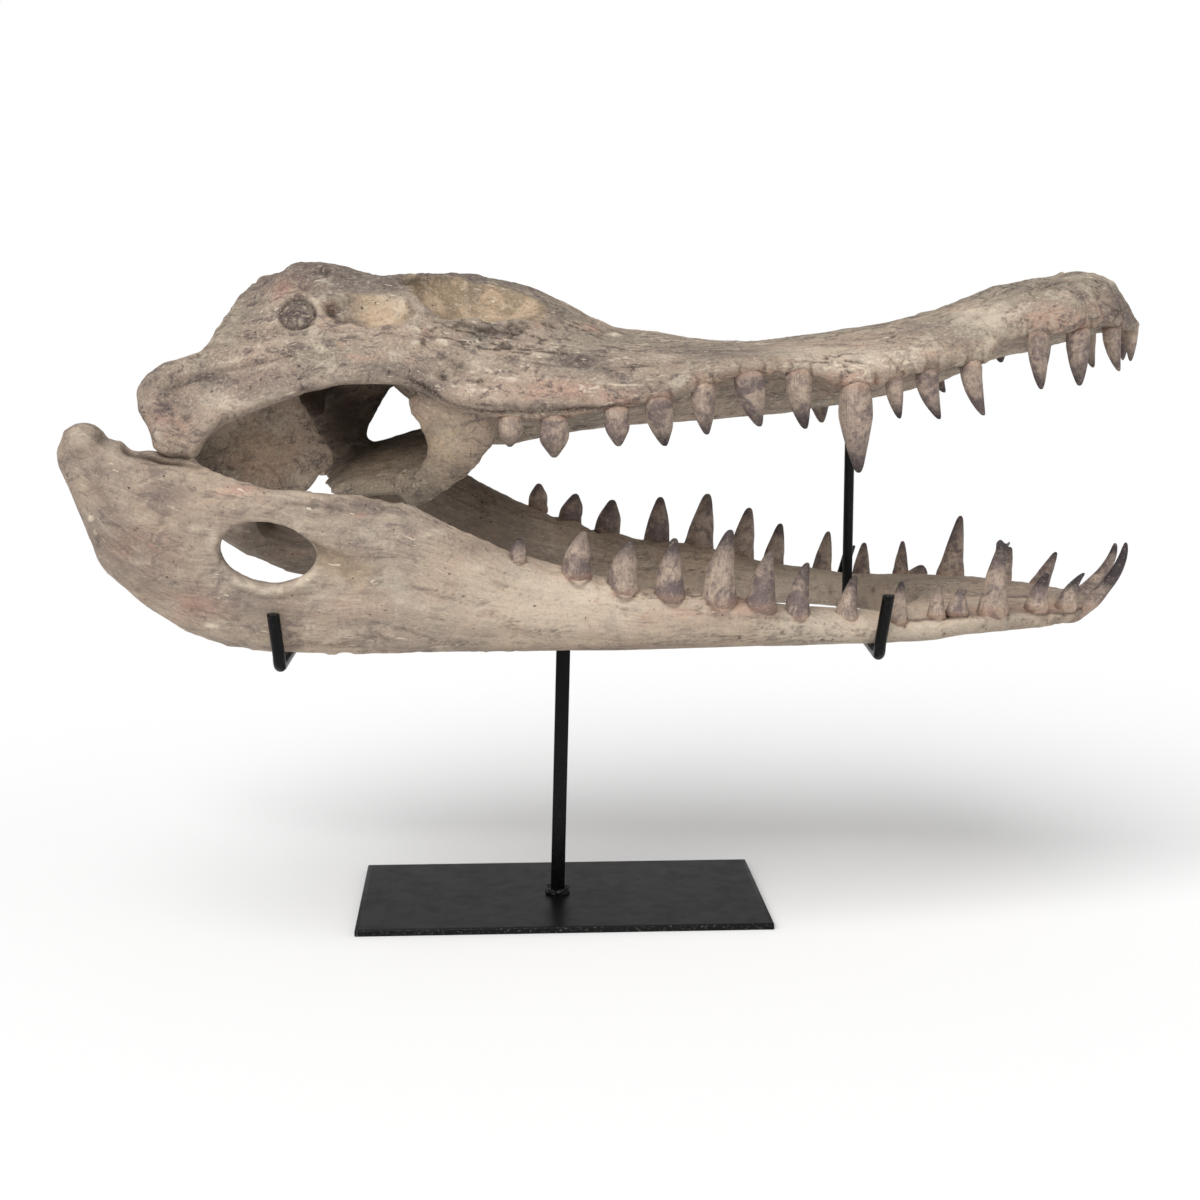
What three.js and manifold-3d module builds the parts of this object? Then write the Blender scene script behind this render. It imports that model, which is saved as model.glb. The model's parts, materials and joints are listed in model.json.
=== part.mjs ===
// Cast crocodile skull with its jaws open, on a black steel stand.
// Millimetres, +Z up, +X towards the snout, -Y the skull's right side.
// The origin is on the underside of the base plate, below the foot of the post.

import * as THREE from "three";
import { mergeVertices } from "three/addons/utils/BufferGeometryUtils.js";
import Module from "manifold-3d";

const wasm = await Module();
wasm.setup();

// ---------------------------------------------------------------- driving dimensions

const GAP = 0.3; // between touching pieces
const FACET_SLACK = 0.85; // how far a facet may stray when slivers are merged
const MERGE_REACH = 1e-4; // points closer than this are one
const END_CROWDING = 0.2; // how much closer the sections stand towards the ends of a piece
const SIDES = { right: -1, left: 1 };

// Stand
const PLATE = { length: 288, width: 160, thickness: 4.5, corner: 1.5 };
const PLATE_CENTRE = { x: 2.8, y: -3.3 };
const PLATE_TURN_DEG = 2;
const BAR = 10; // square bar of the post and the spine
const POST_LEAN_DEG = 1.5;
const WELD = { reach: 5, height: 5, midReach: 0.4, midHeight: 0.5 };
const SPINE_TOP = 207;
const HOOK = { bar: 8, bend: 7, tip: 237, chamfer: 2, endShare: 0.6, play: 1 };
const BAR_SIDES = 6; // of a round bar's section
const REAR_HOOK_X = -174;
const REAR_HOOK_LEAN = -3;
const FRONT_HOOK_X = 214;
const FRONT_HOOK_LEAN = 5;
const JAW_ROD = { x: 206.5, radius: 3.5 };

// Jaw joint: one transverse condyle on each side
const CONDYLE = {
  x: -243, z: 343, inner: 106, outer: 147, radius: 12.5, endShare: 0.75, waistShare: 0.88, flare: 8,
};

// Lower jaw, each value read along x
const RAMUS = {
  start: -312,
  end: 379,
  top: profile([
    [-312, 340], [-306, 352], [-293, 355], [-285, 350], [-278, 341], [-255, 337.5], [-217, 327.5],
    [-201, 317], [-154, 313], [-99, 305.5], [-63, 286], [-20, 266], [22, 255], [56, 243],
    [116, 238], [150, 227], [200, 222], [228, 219], [266, 224], [302, 224], [340, 222], [379, 216],
  ]),
  bottom: profile([
    [-312, 328], [-308, 313], [-302, 289], [-295, 268], [-279, 249], [-263, 234], [-247, 222],
    [-230, 214.5], [-211, 210], [-190, 207.5], [-134, 205], [-75, 203.5], [48, 200.5], [203, 200.5],
    [250, 198], [308, 197.5], [345, 200], [369, 206], [379, 213],
  ]),
  outer: profile([
    [-312, 146], [-300, 150], [-263, 158], [-200, 161], [-100, 151], [-25, 138], [43, 129],
    [106, 120], [159, 111], [228, 97], [295, 82], [330, 69], [352, 54], [370, 35], [379, 14],
  ]),
  inner: profile([
    [-312, 130], [-300, 124], [-285, 114], [-263, 106], [-235, 106], [-208, 124], [-150, 136],
    [-100, 124], [-25, 104], [43, 92], [106, 82], [159, 76], [200, 68], [232, 52], [250, 20],
    [266, -30], [295, -76], [330, -66], [370, -34], [379, -13],
  ]),
};
const RAMUS_STATIONS = 25;
const RAMUS_SIDES = 10;
const RAMUS_SQUARENESS = 0.8; // power of its rounded-square section
const RAMUS_TUCK = 0.12; // how far the foot of the section leans in, of its thickness
const MEDIAN_CUT = 0.15; // half the parting between the two halves of the lower jaw
// The lower jaw and its bars sit a little higher on the left, turned about a line under the right side.
const ROLL = { degrees: 1.8, y: -115, z: 204 };
const QUADRATE_WING_HALF = 3.5;
const JOINT_CLEARANCE = 1; // between the condyle and its cup
const FENESTRA = { x: -181, y: 145, z: 274, halfLength: 30.5, halfHeight: 19.5, turnDeg: -9, depth: 90 };
const WINDOW_HOLLOW = { x: -150, y: 160, z: 267, radii: [32, 8, 8] }; // runs forward from the opening
const WINDOW_POCKET = { x: -192, y: 125, z: 265, radii: [46, 23, 36] }; // thins the wall from the inside
const CHIN_TROUGH = { x: 320, z: 228, radii: [58, 44, 14] };
const JAW_KNOB = { x: -296, y: 138, z: 341, radii: [15, 15, 14] }; // behind the cup of the joint
const CHIN_BLOCK = { start: 200, end: 450, halfWidth: 120, low: 150, high: 320 }; // holds both chins

// Upper jaw and face, each value read along x
const FACE = {
  start: -112,
  end: 409,
  top: profile([
    [-112, 444], [-90, 446], [-61, 447], [-32, 442.5], [2, 431], [36, 418], [63, 410], [105, 401],
    [139, 400], [188, 406.5], [244, 416], [274, 425.5], [313, 440], [345, 445], [364, 448],
    [380, 445.5], [394, 438], [405, 427], [409, 416],
  ]),
  margin: profile([
    [-112, 384], [-97, 380], [-73, 363.5], [-36, 354], [-10, 351.5], [30, 357.5], [76, 365],
    [102, 375], [135, 381.5], [166, 381], [186, 372], [205, 371.5], [222, 378], [252, 381],
    [288, 385.5], [296, 393], [303, 400.5], [315, 402], [340, 406.5], [370, 411], [390, 408], [409, 411],
  ]),
  palate: profile([
    [-112, 372], [-90, 350], [-60, 330], [-36, 329], [-11, 334], [34, 341.5], [112, 346],
    [146, 349], [196, 356.5], [231, 363], [269, 374], [300, 387], [331, 394], [370, 404],
    [409, 411],
  ]),
  halfWidth: profile([
    [-112, 126], [-60, 127], [-20, 125], [39, 121], [95, 115], [140, 108], [165, 104], [194, 103],
    [225, 92], [250, 83], [278, 76], [292, 66], [303, 60], [314, 65], [328, 71], [350, 65],
    [372, 50], [390, 34], [403, 18], [409, 4],
  ]),
  roundness: profile([[-112, 1.6], [0, 1.6], [60, 1.9], [139, 2.1], [274, 2.2], [352, 2.5], [407, 2]]),
};
const FACE_STATIONS = 24;
const FACE_ARCH_STEPS = 5;
// The rim that carries the teeth; in a slender place its wall and height keep to a share of the section.
const MARGIN_RIM = { wall: 17, height: 9, wallShare: 0.5, heightShare: 0.4, inset: 0.2 };
// The vault of the palate inside the rim: how far out each of its two folds lies, and how far down.
const VAULT = { outerFold: 0.72, outerDrop: 0.65, innerFold: 0.36, innerDrop: 0.12 };

// Skull table and the cheek wall behind the face
const TABLE = {
  start: -206,
  end: -62,
  halfWidth: profile([[-206, 60], [-196, 74], [-172, 79], [-110, 72], [-85, 44], [-62, 26]]),
  top: profile([[-206, 427], [-196, 437], [-180, 448], [-160, 453.5], [-120, 448], [-62, 446]]),
  thickness: 20,
  edge: 6,
  footInset: 3,
};
const CHEEK = {
  start: -264,
  end: -84,
  topY: profile([[-264, 130], [-240, 122], [-222, 112], [-205, 94], [-190, 80], [-150, 72], [-84, 68]]),
  topZ: profile([[-264, 377], [-252, 389], [-238, 395.5], [-222, 401], [-205, 415], [-195, 428],
    [-180, 443], [-150, 450], [-110, 443], [-84, 440]]),
  footY: profile([[-264, 134], [-245, 142], [-205, 141], [-150, 134], [-84, 128]]),
  footZ: profile([[-264, 362], [-258, 350], [-248, 336], [-230, 333], [-222, 345], [-212, 355], [-190, 364],
    [-150, 376], [-125, 381], [-100, 381], [-84, 374]]),
  halfThickness: profile([[-264, 6], [-245, 12], [-222, 10], [-190, 8], [-150, 7], [-84, 9]]),
  inset: 0.6,
};
// Section of the cheek wall: share of its length, and of its half thickness.
const CHEEK_SECTION = [[0, 0], [0.04, 0.8], [0.3, 1], [0.7, 1], [0.95, 0.9], [1, 0], [0.95, -0.9],
  [0.7, -1], [0.3, -1], [0.04, -0.8]];

const BRAINCASE_SIDES = 10;

// Teeth from the front backwards: place of the root, width and length of the crown, and how far the
// tip leans towards the snout. A crown bends at its tip, or with a negative curl at its root.
const UPPER_TEETH = [
  { x: 400, y: 9, z: 413, width: 10, length: 26, lean: 0 },
  { x: 379.5, y: 33, z: 411, width: 13, length: 30, lean: 6 },
  { x: 351.5, y: 54, z: 409, width: 16.5, length: 37, lean: 2 },
  { x: 322.5, y: 63, z: 406, width: 15, length: 36, lean: 3 },
  { x: 276.5, y: 69, z: 387, width: 15, length: 34, lean: 9 },
  { x: 245.5, y: 77, z: 383, width: 15.5, length: 32, lean: 9 },
  { x: 222.5, y: 86, z: 379, width: 12.5, length: 27, lean: 4 },
  { x: 196, y: 95, z: 374, width: 25, length: 57, lean: 3 },
  { x: 158, y: 98, z: 383, width: 17.5, length: 37, lean: 5 },
  { x: 125.5, y: 103, z: 382, width: 20, length: 34, lean: 7 },
  { x: 95, y: 107, z: 375, width: 16, length: 32, lean: 3 },
  { x: 66.5, y: 111, z: 366, width: 18, length: 30, lean: 4 },
  { x: 39.5, y: 114, z: 360, width: 16.5, length: 24, lean: 1 },
  { x: -1, y: 117, z: 354, width: 18.5, length: 25, lean: 0 },
  { x: -28.5, y: 118, z: 355, width: 15.5, length: 19, lean: -1 },
];
const LOWER_TEETH = [
  { x: 371.5, y: 20, z: 213, width: 18, length: 45, lean: 27, curl: -0.9 },
  { x: 352, y: 45, z: 219, width: 14, length: 22, lean: 11 },
  { x: 328.5, y: 58, z: 222, width: 15, length: 21, lean: 6 },
  { x: 295.5, y: 71, z: 222, width: 20, length: 47, lean: 6 },
  { x: 270, y: 77, z: 221, width: 14, length: 15, lean: 3 },
  { x: 255, y: 82, z: 220, width: 11, length: 19, lean: 1 },
  { x: 228, y: 88, z: 217, width: 13, length: 26, lean: 2 },
  { x: 193, y: 94, z: 219, width: 14, length: 29, lean: 5 },
  { x: 159, y: 101, z: 222, width: 16, length: 36, lean: 6 },
  { x: 134.5, y: 105, z: 231, width: 19, length: 35, lean: 6 },
  { x: 106.5, y: 108, z: 235, width: 21.5, length: 46, lean: 7 },
  { x: 74, y: 112, z: 238, width: 19, length: 38, lean: 3 },
  { x: 43, y: 116, z: 243, width: 20, length: 32, lean: 5 },
  { x: 13, y: 120, z: 254, width: 18, length: 28, lean: 5 },
  { x: -24.5, y: 127, z: 264, width: 10, length: 15, lean: 1 },
];
const TOOTH_SIDES = 5;
const TOOTH_DEPTH = 0.84; // across the jaw, as a share of the width along it
const CROWN = [[-0.15, 0.9], [0.35, 1], [0.75, 0.64], [1, 0.14]]; // share of the length, of the width
// The left rows differ: how far forward each tooth stands, and its length, of the right one's.
const LEFT_FANG = { index: 7, length: 36, width: 22 };
const LEFT_LOWER_SHIFT = [4, 3, 0, -1.5, 0, 3.5, 1.5, 7, 4.5, 5.5, 1, 2, -5.5, -3.5, 10];
const LEFT_LOWER_LENGTH = [0.85, 1, 1, 0.9, 1, 1.25, 0.95, 1.05, 0.9, 1, 0.9, 0.93, 0.87, 0.75, 1.2];

// ---------------------------------------------------------------- curves and solids

/** A smooth curve through [place, value] pairs, without overshoot, held level past its ends. */
function profile(points) {
  const at = points.map((p) => p[0]);
  const value = points.map((p) => p[1]);
  const last = points.length - 1;
  const rise = at.slice(1).map((a, i) => (value[i + 1] - value[i]) / (a - at[i]));
  const slope = value.map((_, i) => {
    if (i === 0) return rise[0];
    if (i === last) return rise[last - 1];
    if (rise[i - 1] * rise[i] <= 0) return 0;
    return (2 * rise[i - 1] * rise[i]) / (rise[i - 1] + rise[i]);
  });
  return (x) => {
    if (x <= at[0]) return value[0];
    if (x >= at[last]) return value[last];
    const i = at.findIndex((a) => a > x) - 1;
    const span = at[i + 1] - at[i];
    const t = (x - at[i]) / span;
    const u = 1 - t;
    return (
      value[i] * u * u * (1 + 2 * t) +
      value[i + 1] * t * t * (3 - 2 * t) +
      (slope[i] * u - slope[i + 1] * t) * span * t * u
    );
  };
}

/** A power that keeps the sign, for rounded-square sections. */
function signedPower(value, exponent) {
  return Math.sign(value) * Math.abs(value) ** exponent;
}

/** Evenly spaced places from a to b, closer together towards both ends. */
function stations(a, b, count) {
  return Array.from({ length: count }, (_, i) => {
    const t = i / (count - 1);
    const crowded = 0.5 - 0.5 * Math.cos(Math.PI * t);
    return a + (b - a) * ((1 - END_CROWDING) * t + END_CROWDING * crowded);
  });
}

/** A closed solid from rings of points, each end closed by a fan, as a manifold. */
function loft(rings) {
  const sides = rings[0].length;
  const points = rings.flat();
  const middle = (ring) =>
    ring.reduce((sum, p) => sum.add(p), new THREE.Vector3()).divideScalar(sides);
  const faces = [];
  for (let r = 0; r + 1 < rings.length; r += 1) {
    for (let k = 0; k < sides; k += 1) {
      const a = r * sides + k;
      const b = r * sides + ((k + 1) % sides);
      faces.push(a, b, b + sides, a, b + sides, a + sides);
    }
  }
  const first = points.push(middle(rings[0])) - 1;
  const final = points.push(middle(rings.at(-1))) - 1;
  const top = (rings.length - 1) * sides;
  for (let k = 0; k < sides; k += 1) {
    const next = (k + 1) % sides;
    faces.push(first, next, k, final, top + k, top + next);
  }
  const geometry = new THREE.BufferGeometry().setFromPoints(points).setIndex(faces);
  return toSolid(geometry);
}

/** A geometry as a manifold solid that faces outwards. */
function toSolid(geometry) {
  const bare = geometry.clone();
  bare.deleteAttribute("normal");
  bare.deleteAttribute("uv");
  const merged = mergeVertices(bare, MERGE_REACH);
  const make = (triVerts) =>
    new wasm.Manifold(
      new wasm.Mesh({ numProp: 3, vertProperties: merged.attributes.position.array, triVerts }),
    );
  const triVerts = Uint32Array.from(merged.index.array);
  const solid = make(triVerts);
  return solid.volume() > 0 ? solid : make(triVerts.reverse());
}

/** All the solids joined into one. */
function join(solids) {
  return solids.reduce((sum, one) => sum.add(one));
}

/** The first solid without the others. */
function cut(solid, tools) {
  return tools.reduce((rest, tool) => rest.subtract(tool), solid);
}

/** The solid with the slight roll of the lower jaw. */
function rolled(solid) {
  const geometry = toGeometry(solid);
  geometry.translate(0, -ROLL.y, -ROLL.z);
  geometry.rotateX(THREE.MathUtils.degToRad(ROLL.degrees));
  geometry.translate(0, ROLL.y, ROLL.z);
  return toSolid(geometry);
}

/** How far the roll lifts what lies at y. */
function rollLift(y) {
  return (y - ROLL.y) * Math.sin(THREE.MathUtils.degToRad(ROLL.degrees));
}

/** A manifold solid as a geometry. */
function toGeometry(solid) {
  const made = solid.getMesh();
  const geometry = new THREE.BufferGeometry();
  geometry.setAttribute("position", new THREE.BufferAttribute(made.vertProperties, 3));
  geometry.setIndex(new THREE.BufferAttribute(made.triVerts, 1));
  return geometry;
}

/** A named mesh of a manifold solid. */
function node(name, solid, material) {
  const geometry = toGeometry(solid);
  geometry.computeVertexNormals();
  const mesh = new THREE.Mesh(geometry, material);
  mesh.name = name;
  return mesh;
}

/** An ellipsoid, turned about the x axis. */
function ellipsoid(centre, radii, turnDeg = 0) {
  const geometry = new THREE.SphereGeometry(1, 10, 6);
  geometry.scale(...radii);
  geometry.rotateX(THREE.MathUtils.degToRad(turnDeg));
  geometry.translate(...centre);
  return toSolid(geometry);
}

/** A box given by its lowest and highest corners. */
function block(low, high) {
  const size = high.map((h, i) => h - low[i]);
  const geometry = new THREE.BoxGeometry(...size);
  geometry.translate(...low.map((l, i) => l + size[i] / 2));
  return toSolid(geometry);
}

/**
 * A bone shaft along a smooth path. Each stop is [x, y, z, halfWide, halfThick]: the section is an
 * ellipse square to the path, halfWide along the wide direction.
 */
function shaft(stops, wide, steps, sides) {
  const count = stops.length - 1;
  const path = new THREE.CatmullRomCurve3(stops.map((s) => new THREE.Vector3(s[0], s[1], s[2])));
  const halfWide = profile(stops.map((s, i) => [i / count, s[3]]));
  const halfThick = profile(stops.map((s, i) => [i / count, s[4]]));
  const rings = Array.from({ length: steps + 1 }, (_, i) => {
    const t = i / steps;
    const centre = path.getPoint(t);
    const along = path.getTangent(t);
    const thin = new THREE.Vector3().crossVectors(along, wide).normalize();
    const broad = new THREE.Vector3().crossVectors(thin, along).normalize();
    return Array.from({ length: sides }, (_, k) => {
      const angle = (2 * Math.PI * k) / sides;
      return centre
        .clone()
        .addScaledVector(broad, halfWide(t) * Math.cos(angle))
        .addScaledVector(thin, halfThick(t) * Math.sin(angle));
    });
  });
  return loft(rings);
}

const X_AXIS = new THREE.Vector3(1, 0, 0);
const Z_AXIS = new THREE.Vector3(0, 0, 1);

// ---------------------------------------------------------------- teeth

/** One tooth: a root inside the jaw, a swollen crown and a blunt tip that leans forwards. */
function tooth(one, side, direction) {
  const { x, y, z, width, length, lean, curl = 1 } = one;
  const rings = CROWN.map(([t, share]) => {
    const bow = lean * (curl * t * Math.abs(t) + (1 - curl) * t);
    return Array.from({ length: TOOTH_SIDES }, (_, k) => {
      const angle = (2 * Math.PI * (k + 0.5)) / TOOTH_SIDES;
      return new THREE.Vector3(
        x + bow + (width / 2) * share * Math.cos(angle),
        side * (y + (TOOTH_DEPTH / 2) * width * share * Math.sin(angle)),
        z + direction * length * t,
      );
    });
  });
  return loft(rings);
}

/** The upper teeth of one side. */
function upperRow(side) {
  return UPPER_TEETH.map((one, i) => {
    const worn = side === SIDES.left && i === LEFT_FANG.index;
    return tooth(worn ? { ...one, ...LEFT_FANG } : one, side, -1);
  });
}

/** The lower teeth of one side. */
function lowerRow(side) {
  if (side === SIDES.right) return LOWER_TEETH.map((one) => tooth(one, side, 1));
  return LOWER_TEETH.map((one, i) =>
    tooth({ ...one, x: one.x + LEFT_LOWER_SHIFT[i], length: one.length * LEFT_LOWER_LENGTH[i] }, side, 1),
  );
}

// ---------------------------------------------------------------- lower jaw

/** A rounded-square section of the lower jaw at one place along x. */
function ramusRing(x, side) {
  const outer = RAMUS.outer(x);
  const inner = RAMUS.inner(x);
  const top = RAMUS.top(x);
  const bottom = RAMUS.bottom(x);
  return Array.from({ length: RAMUS_SIDES }, (_, k) => {
    const angle = (2 * Math.PI * (k + 0.5)) / RAMUS_SIDES;
    const across = signedPower(Math.cos(angle), RAMUS_SQUARENESS);
    const up = signedPower(Math.sin(angle), RAMUS_SQUARENESS);
    const tuck = up < 0 ? RAMUS_TUCK * (outer - inner) * up * up : 0;
    return new THREE.Vector3(
      x,
      side * ((outer + inner) / 2 - tuck + ((outer - inner) / 2) * across),
      (top + bottom) / 2 + ((top - bottom) / 2) * up,
    );
  });
}

/** The oval opening through the back of one jaw half, with the hollows outside and inside it. */
function fenestra(side) {
  const outline = new THREE.Shape();
  outline.absellipse(0, 0, FENESTRA.halfLength, FENESTRA.halfHeight, 0, 2 * Math.PI);
  const { depth } = FENESTRA;
  const geometry = new THREE.ExtrudeGeometry(outline, { depth, bevelEnabled: false, curveSegments: 9 });
  geometry.rotateX(Math.PI / 2);
  geometry.rotateY(THREE.MathUtils.degToRad(-FENESTRA.turnDeg));
  geometry.translate(FENESTRA.x, side * FENESTRA.y + depth / 2, FENESTRA.z);
  const hollows = [WINDOW_HOLLOW, WINDOW_POCKET].map((one) =>
    ellipsoid([one.x, side * one.y, one.z], one.radii),
  );
  return [toSolid(geometry), ...hollows];
}

/** One half of the lower jaw with its teeth, parted at the middle and hollowed for the condyle. */
function mandibleHalf(side) {
  const rings = stations(RAMUS.start, RAMUS.end, RAMUS_STATIONS).map((x) => ramusRing(x, side));
  const trough = ellipsoid([CHIN_TROUGH.x, 0, CHIN_TROUGH.z], CHIN_TROUGH.radii);
  const { start, end, halfWidth, low, high } = CHIN_BLOCK;
  const otherSide = side > 0 ? block([start, -halfWidth, low], [end, MEDIAN_CUT, high])
    : block([start, -MEDIAN_CUT, low], [end, halfWidth, high]);
  const knob = ellipsoid([JAW_KNOB.x, side * JAW_KNOB.y, JAW_KNOB.z], JAW_KNOB.radii);
  const body = cut(join([loft(rings), knob]), [trough, ...fenestra(side)]);
  const half = cut(join([body, ...lowerRow(side)]), [otherSide]);
  return cut(rolled(half), jawHinge(side, JOINT_CLEARANCE)).simplify(FACET_SLACK);
}

// ---------------------------------------------------------------- cranium

/** The section of the face at one place along x: an arched roof, a rim for the teeth, a full palate. */
function faceRing(x) {
  const width = FACE.halfWidth(x);
  const top = FACE.top(x);
  const margin = FACE.margin(x);
  const palate = FACE.palate(x);
  const power = 2 / FACE.roundness(x);
  const wall = Math.min(MARGIN_RIM.wall, width * MARGIN_RIM.wallShare);
  const shoulder = margin + Math.min(MARGIN_RIM.height, (top - margin) * MARGIN_RIM.heightShare);
  const half = Array.from({ length: FACE_ARCH_STEPS }, (_, i) => {
    const angle = (Math.PI / 2) * (i / (FACE_ARCH_STEPS - 1));
    return [
      width * signedPower(Math.sin(angle), power),
      shoulder + (top - shoulder) * signedPower(Math.cos(angle), power),
    ];
  });
  const slack = Math.min(margin, palate + (margin - palate) * VAULT.outerDrop);
  half.push([width - wall * MARGIN_RIM.inset, margin]);
  half.push([width - wall, margin + 1]);
  half.push([(width - wall) * VAULT.outerFold, slack]);
  half.push([(width - wall) * VAULT.innerFold, palate + (margin - palate) * VAULT.innerDrop]);
  half.push([0, palate]);
  const mirrored = half.slice(1, -1).reverse().map(([y, z]) => [-y, z]);
  return [...half, ...mirrored].map(([y, z]) => new THREE.Vector3(x, y, z));
}

/** The flat plate of the skull table between the two openings on the crown. */
function tableRing(x) {
  const width = TABLE.halfWidth(x);
  const top = TABLE.top(x);
  const low = top - TABLE.thickness;
  const { edge, footInset } = TABLE;
  const half = [[0, top], [width - edge, top], [width, top - edge], [width - footInset, low], [0, low - edge]];
  const mirrored = half.slice(1, -1).reverse().map(([y, z]) => [-y, z]);
  return [...half, ...mirrored].map(([y, z]) => new THREE.Vector3(x, y, z));
}

/** A slanting slab section of the cheek wall, from the table's edge down to its free lower rim. */
function cheekRing(x, side, grow) {
  const top = new THREE.Vector2(CHEEK.topY(x), CHEEK.topZ(x));
  const foot = new THREE.Vector2(CHEEK.footY(x), CHEEK.footZ(x));
  const half = CHEEK.halfThickness(x) + grow;
  const down = foot.clone().sub(top);
  const length = down.length() + grow;
  down.normalize();
  const out = new THREE.Vector2(-down.y, down.x);
  return CHEEK_SECTION.map(([t, s]) => {
    const p = top.clone().addScaledVector(down, length * t).addScaledVector(out, half * (s - CHEEK.inset));
    return new THREE.Vector3(x, side * p.x, p.y);
  });
}

/** The cheek wall and the quadrate with its condyle on one side, grown all over for a clearance. */
function jawHinge(side, grow = 0) {
  const wall = loft(stations(CHEEK.start, CHEEK.end, 11).map((x) => cheekRing(x, side, grow)));
  const { x, z, inner, outer, flare } = CONDYLE;
  const radius = CONDYLE.radius + grow;
  const end = radius * CONDYLE.endShare;
  const waist = radius * CONDYLE.waistShare;
  const condyle = shaft(
    [
      [x, side * (inner - grow), z, end, end],
      [x, side * (inner + flare), z, radius, radius],
      [x, side * (inner + outer) / 2, z + 1, waist, waist],
      [x, side * (outer - flare), z, radius, radius],
      [x, side * (outer + grow), z, end, end],
    ],
    X_AXIS,
    5,
    7,
  );
  const quadrate = shaft(
    [
      [-165, side * 25, 376, 30, 14],
      [-190, side * 58, 374, 28, 14],
      [-218, side * 92, 364, 22 + grow, 14 + grow],
      [-241, side * 122, 354, 13 + grow, 16 + grow],
    ],
    Z_AXIS,
    4,
    8,
  );
  return [wall, condyle, quadrate];
}

/** The thin plate that hangs from the quadrate towards the palate. */
function quadrateWing(side) {
  const outline = [
    // x, y, upper edge, lower edge
    [-240, 98, 352, 334],
    [-226, 98, 360, 318],
    [-208, 94, 376, 304],
    [-190, 88, 380, 299],
    [-172, 80, 376, 299],
    [-162, 76, 352, 305],
    [-157, 74, 342, 316],
    [-147, 71, 330, 319],
  ];
  const section = (high, low) => {
    const mid = (high + low) / 2;
    return [[-0.4, high], [0.6, high], [1, mid], [0.6, low], [-0.4, low], [-1, mid]];
  };
  return loft(
    outline.map(([x, y, high, low]) =>
      section(high, low).map(([s, z]) => new THREE.Vector3(x, side * (y + QUADRATE_WING_HALF * s), z)),
    ),
  );
}

/** The strut that falls from the back of the tooth row to the tip of the palate's wing. */
function palateWing(side) {
  return shaft(
    [
      [-66, side * 108, 372, 34, 8],
      [-63, side * 104, 354, 29, 9],
      [-64, side * 95, 333, 23, 8],
      [-79, side * 86, 315, 13, 7],
      [-91, side * 82, 303, 11, 6],
      [-97, side * 80, 294, 5, 4],
    ],
    X_AXIS,
    6,
    8,
  );
}

/** All that joins the face and braincase on one side. */
function cheekSide(side) {
  const earKnob = ellipsoid([-168, side * 88, 421], [12, 9, 11]);
  return [...jawHinge(side), quadrateWing(side), palateWing(side), earKnob];
}

/** The hollows of one side: orbit, temple, crown opening, and the gap in the palate. */
function cheekHollows(side) {
  return [
    ellipsoid([-48, side * 60, 436], [52, 36, 24], side * -30),
    ellipsoid([-119, side * 97, 426], [31, 14, 17], side * -20),
    ellipsoid([-152, side * 35, 456], [26, 18, 24]),
    ellipsoid([-8, side * 66, 340], [46, 20, 14]),
  ];
}

/** The braincase under the table, with the stem that runs down to the pterygoid. */
function braincase() {
  const levels = [
    // height, middle along x, half length, half width
    [436, -130, 66, 40],
    [405, -140, 56, 34],
    [374, -149, 38, 22],
    [346, -154, 26, 13],
    [326, -153, 17, 10],
    [311, -152, 12, 9],
  ];
  return loft(
    levels.map(([z, middle, halfLength, halfWidth]) =>
      Array.from({ length: BRAINCASE_SIDES }, (_, k) => {
        const angle = (2 * Math.PI * k) / BRAINCASE_SIDES;
        return new THREE.Vector3(middle + halfLength * Math.cos(angle), halfWidth * Math.sin(angle), z);
      }),
    ),
  );
}

/** The back of the skull: a wall across, with the knob that meets the neck. */
function occiput() {
  const rings = stations(-108, 108, 9).map((y) => {
    const out = Math.abs(y) / 108;
    const middle = -193 - 24 * out ** 1.5;
    const low = 380 - 8 * out;
    const high = 448 - 44 * out ** 2;
    const mid = (low + high) / 2;
    const corners = [[8, high], [-8, high - 3], [-11, mid], [-8, low], [8, low], [10, mid]];
    return corners.map(([x, z]) => new THREE.Vector3(middle + x, y, z));
  });
  const knob = ellipsoid([-208, 0, 388], [13, 15, 12]);
  const spinalHole = ellipsoid([-208, 0, 410], [16, 9, 8]);
  return cut(join([loft(rings), knob]), [spinalHole]);
}

/** The plate of the palate behind the face, falling away to both wings. */
function pterygoid() {
  const rear = profile([[0, -164], [35, -160], [65, -155], [84, -148]]);
  const front = profile([[0, -20], [50, -30], [70, -60], [84, -82]]);
  const rearZ = profile([[0, 311], [35, 308], [65, 304], [84, 303]]);
  const frontZ = profile([[0, 352], [50, 340], [70, 322], [84, 305]]);
  const swell = [[0, 0], [0.15, 0.9], [0.5, 1.2], [0.85, 1], [1, 0], [0.85, -1], [0.5, -0.9], [0.15, -0.8]];
  return loft(
    stations(-84, 84, 11).map((y) => {
      const out = Math.abs(y);
      const thick = 8 - 3.5 * (out / 84);
      return swell.map(([t, s]) => {
        const x = rear(out) + (front(out) - rear(out)) * t;
        const z = rearZ(out) + (frontZ(out) - rearZ(out)) * t + thick * s;
        return new THREE.Vector3(x, y, z);
      });
    }),
  );
}

/** The whole cranium with its upper teeth. */
function cranium() {
  const face = loft(stations(FACE.start, FACE.end, FACE_STATIONS).map(faceRing));
  const table = loft(stations(TABLE.start, TABLE.end, 9).map(tableRing));
  const sides = Object.values(SIDES);
  const naris = ellipsoid([373, 0, 450], [17, 14, 13]);
  const throat = ellipsoid([-140, 0, 300], [12, 9, 10]);
  const bone = cut(
    join([face, table, braincase(), occiput(), pterygoid(), ...sides.flatMap(cheekSide)]),
    [naris, throat, ...sides.flatMap(cheekHollows)],
  );
  return join([bone, ...sides.flatMap(upperRow)]).simplify(FACET_SLACK);
}

// ---------------------------------------------------------------- stand

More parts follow.
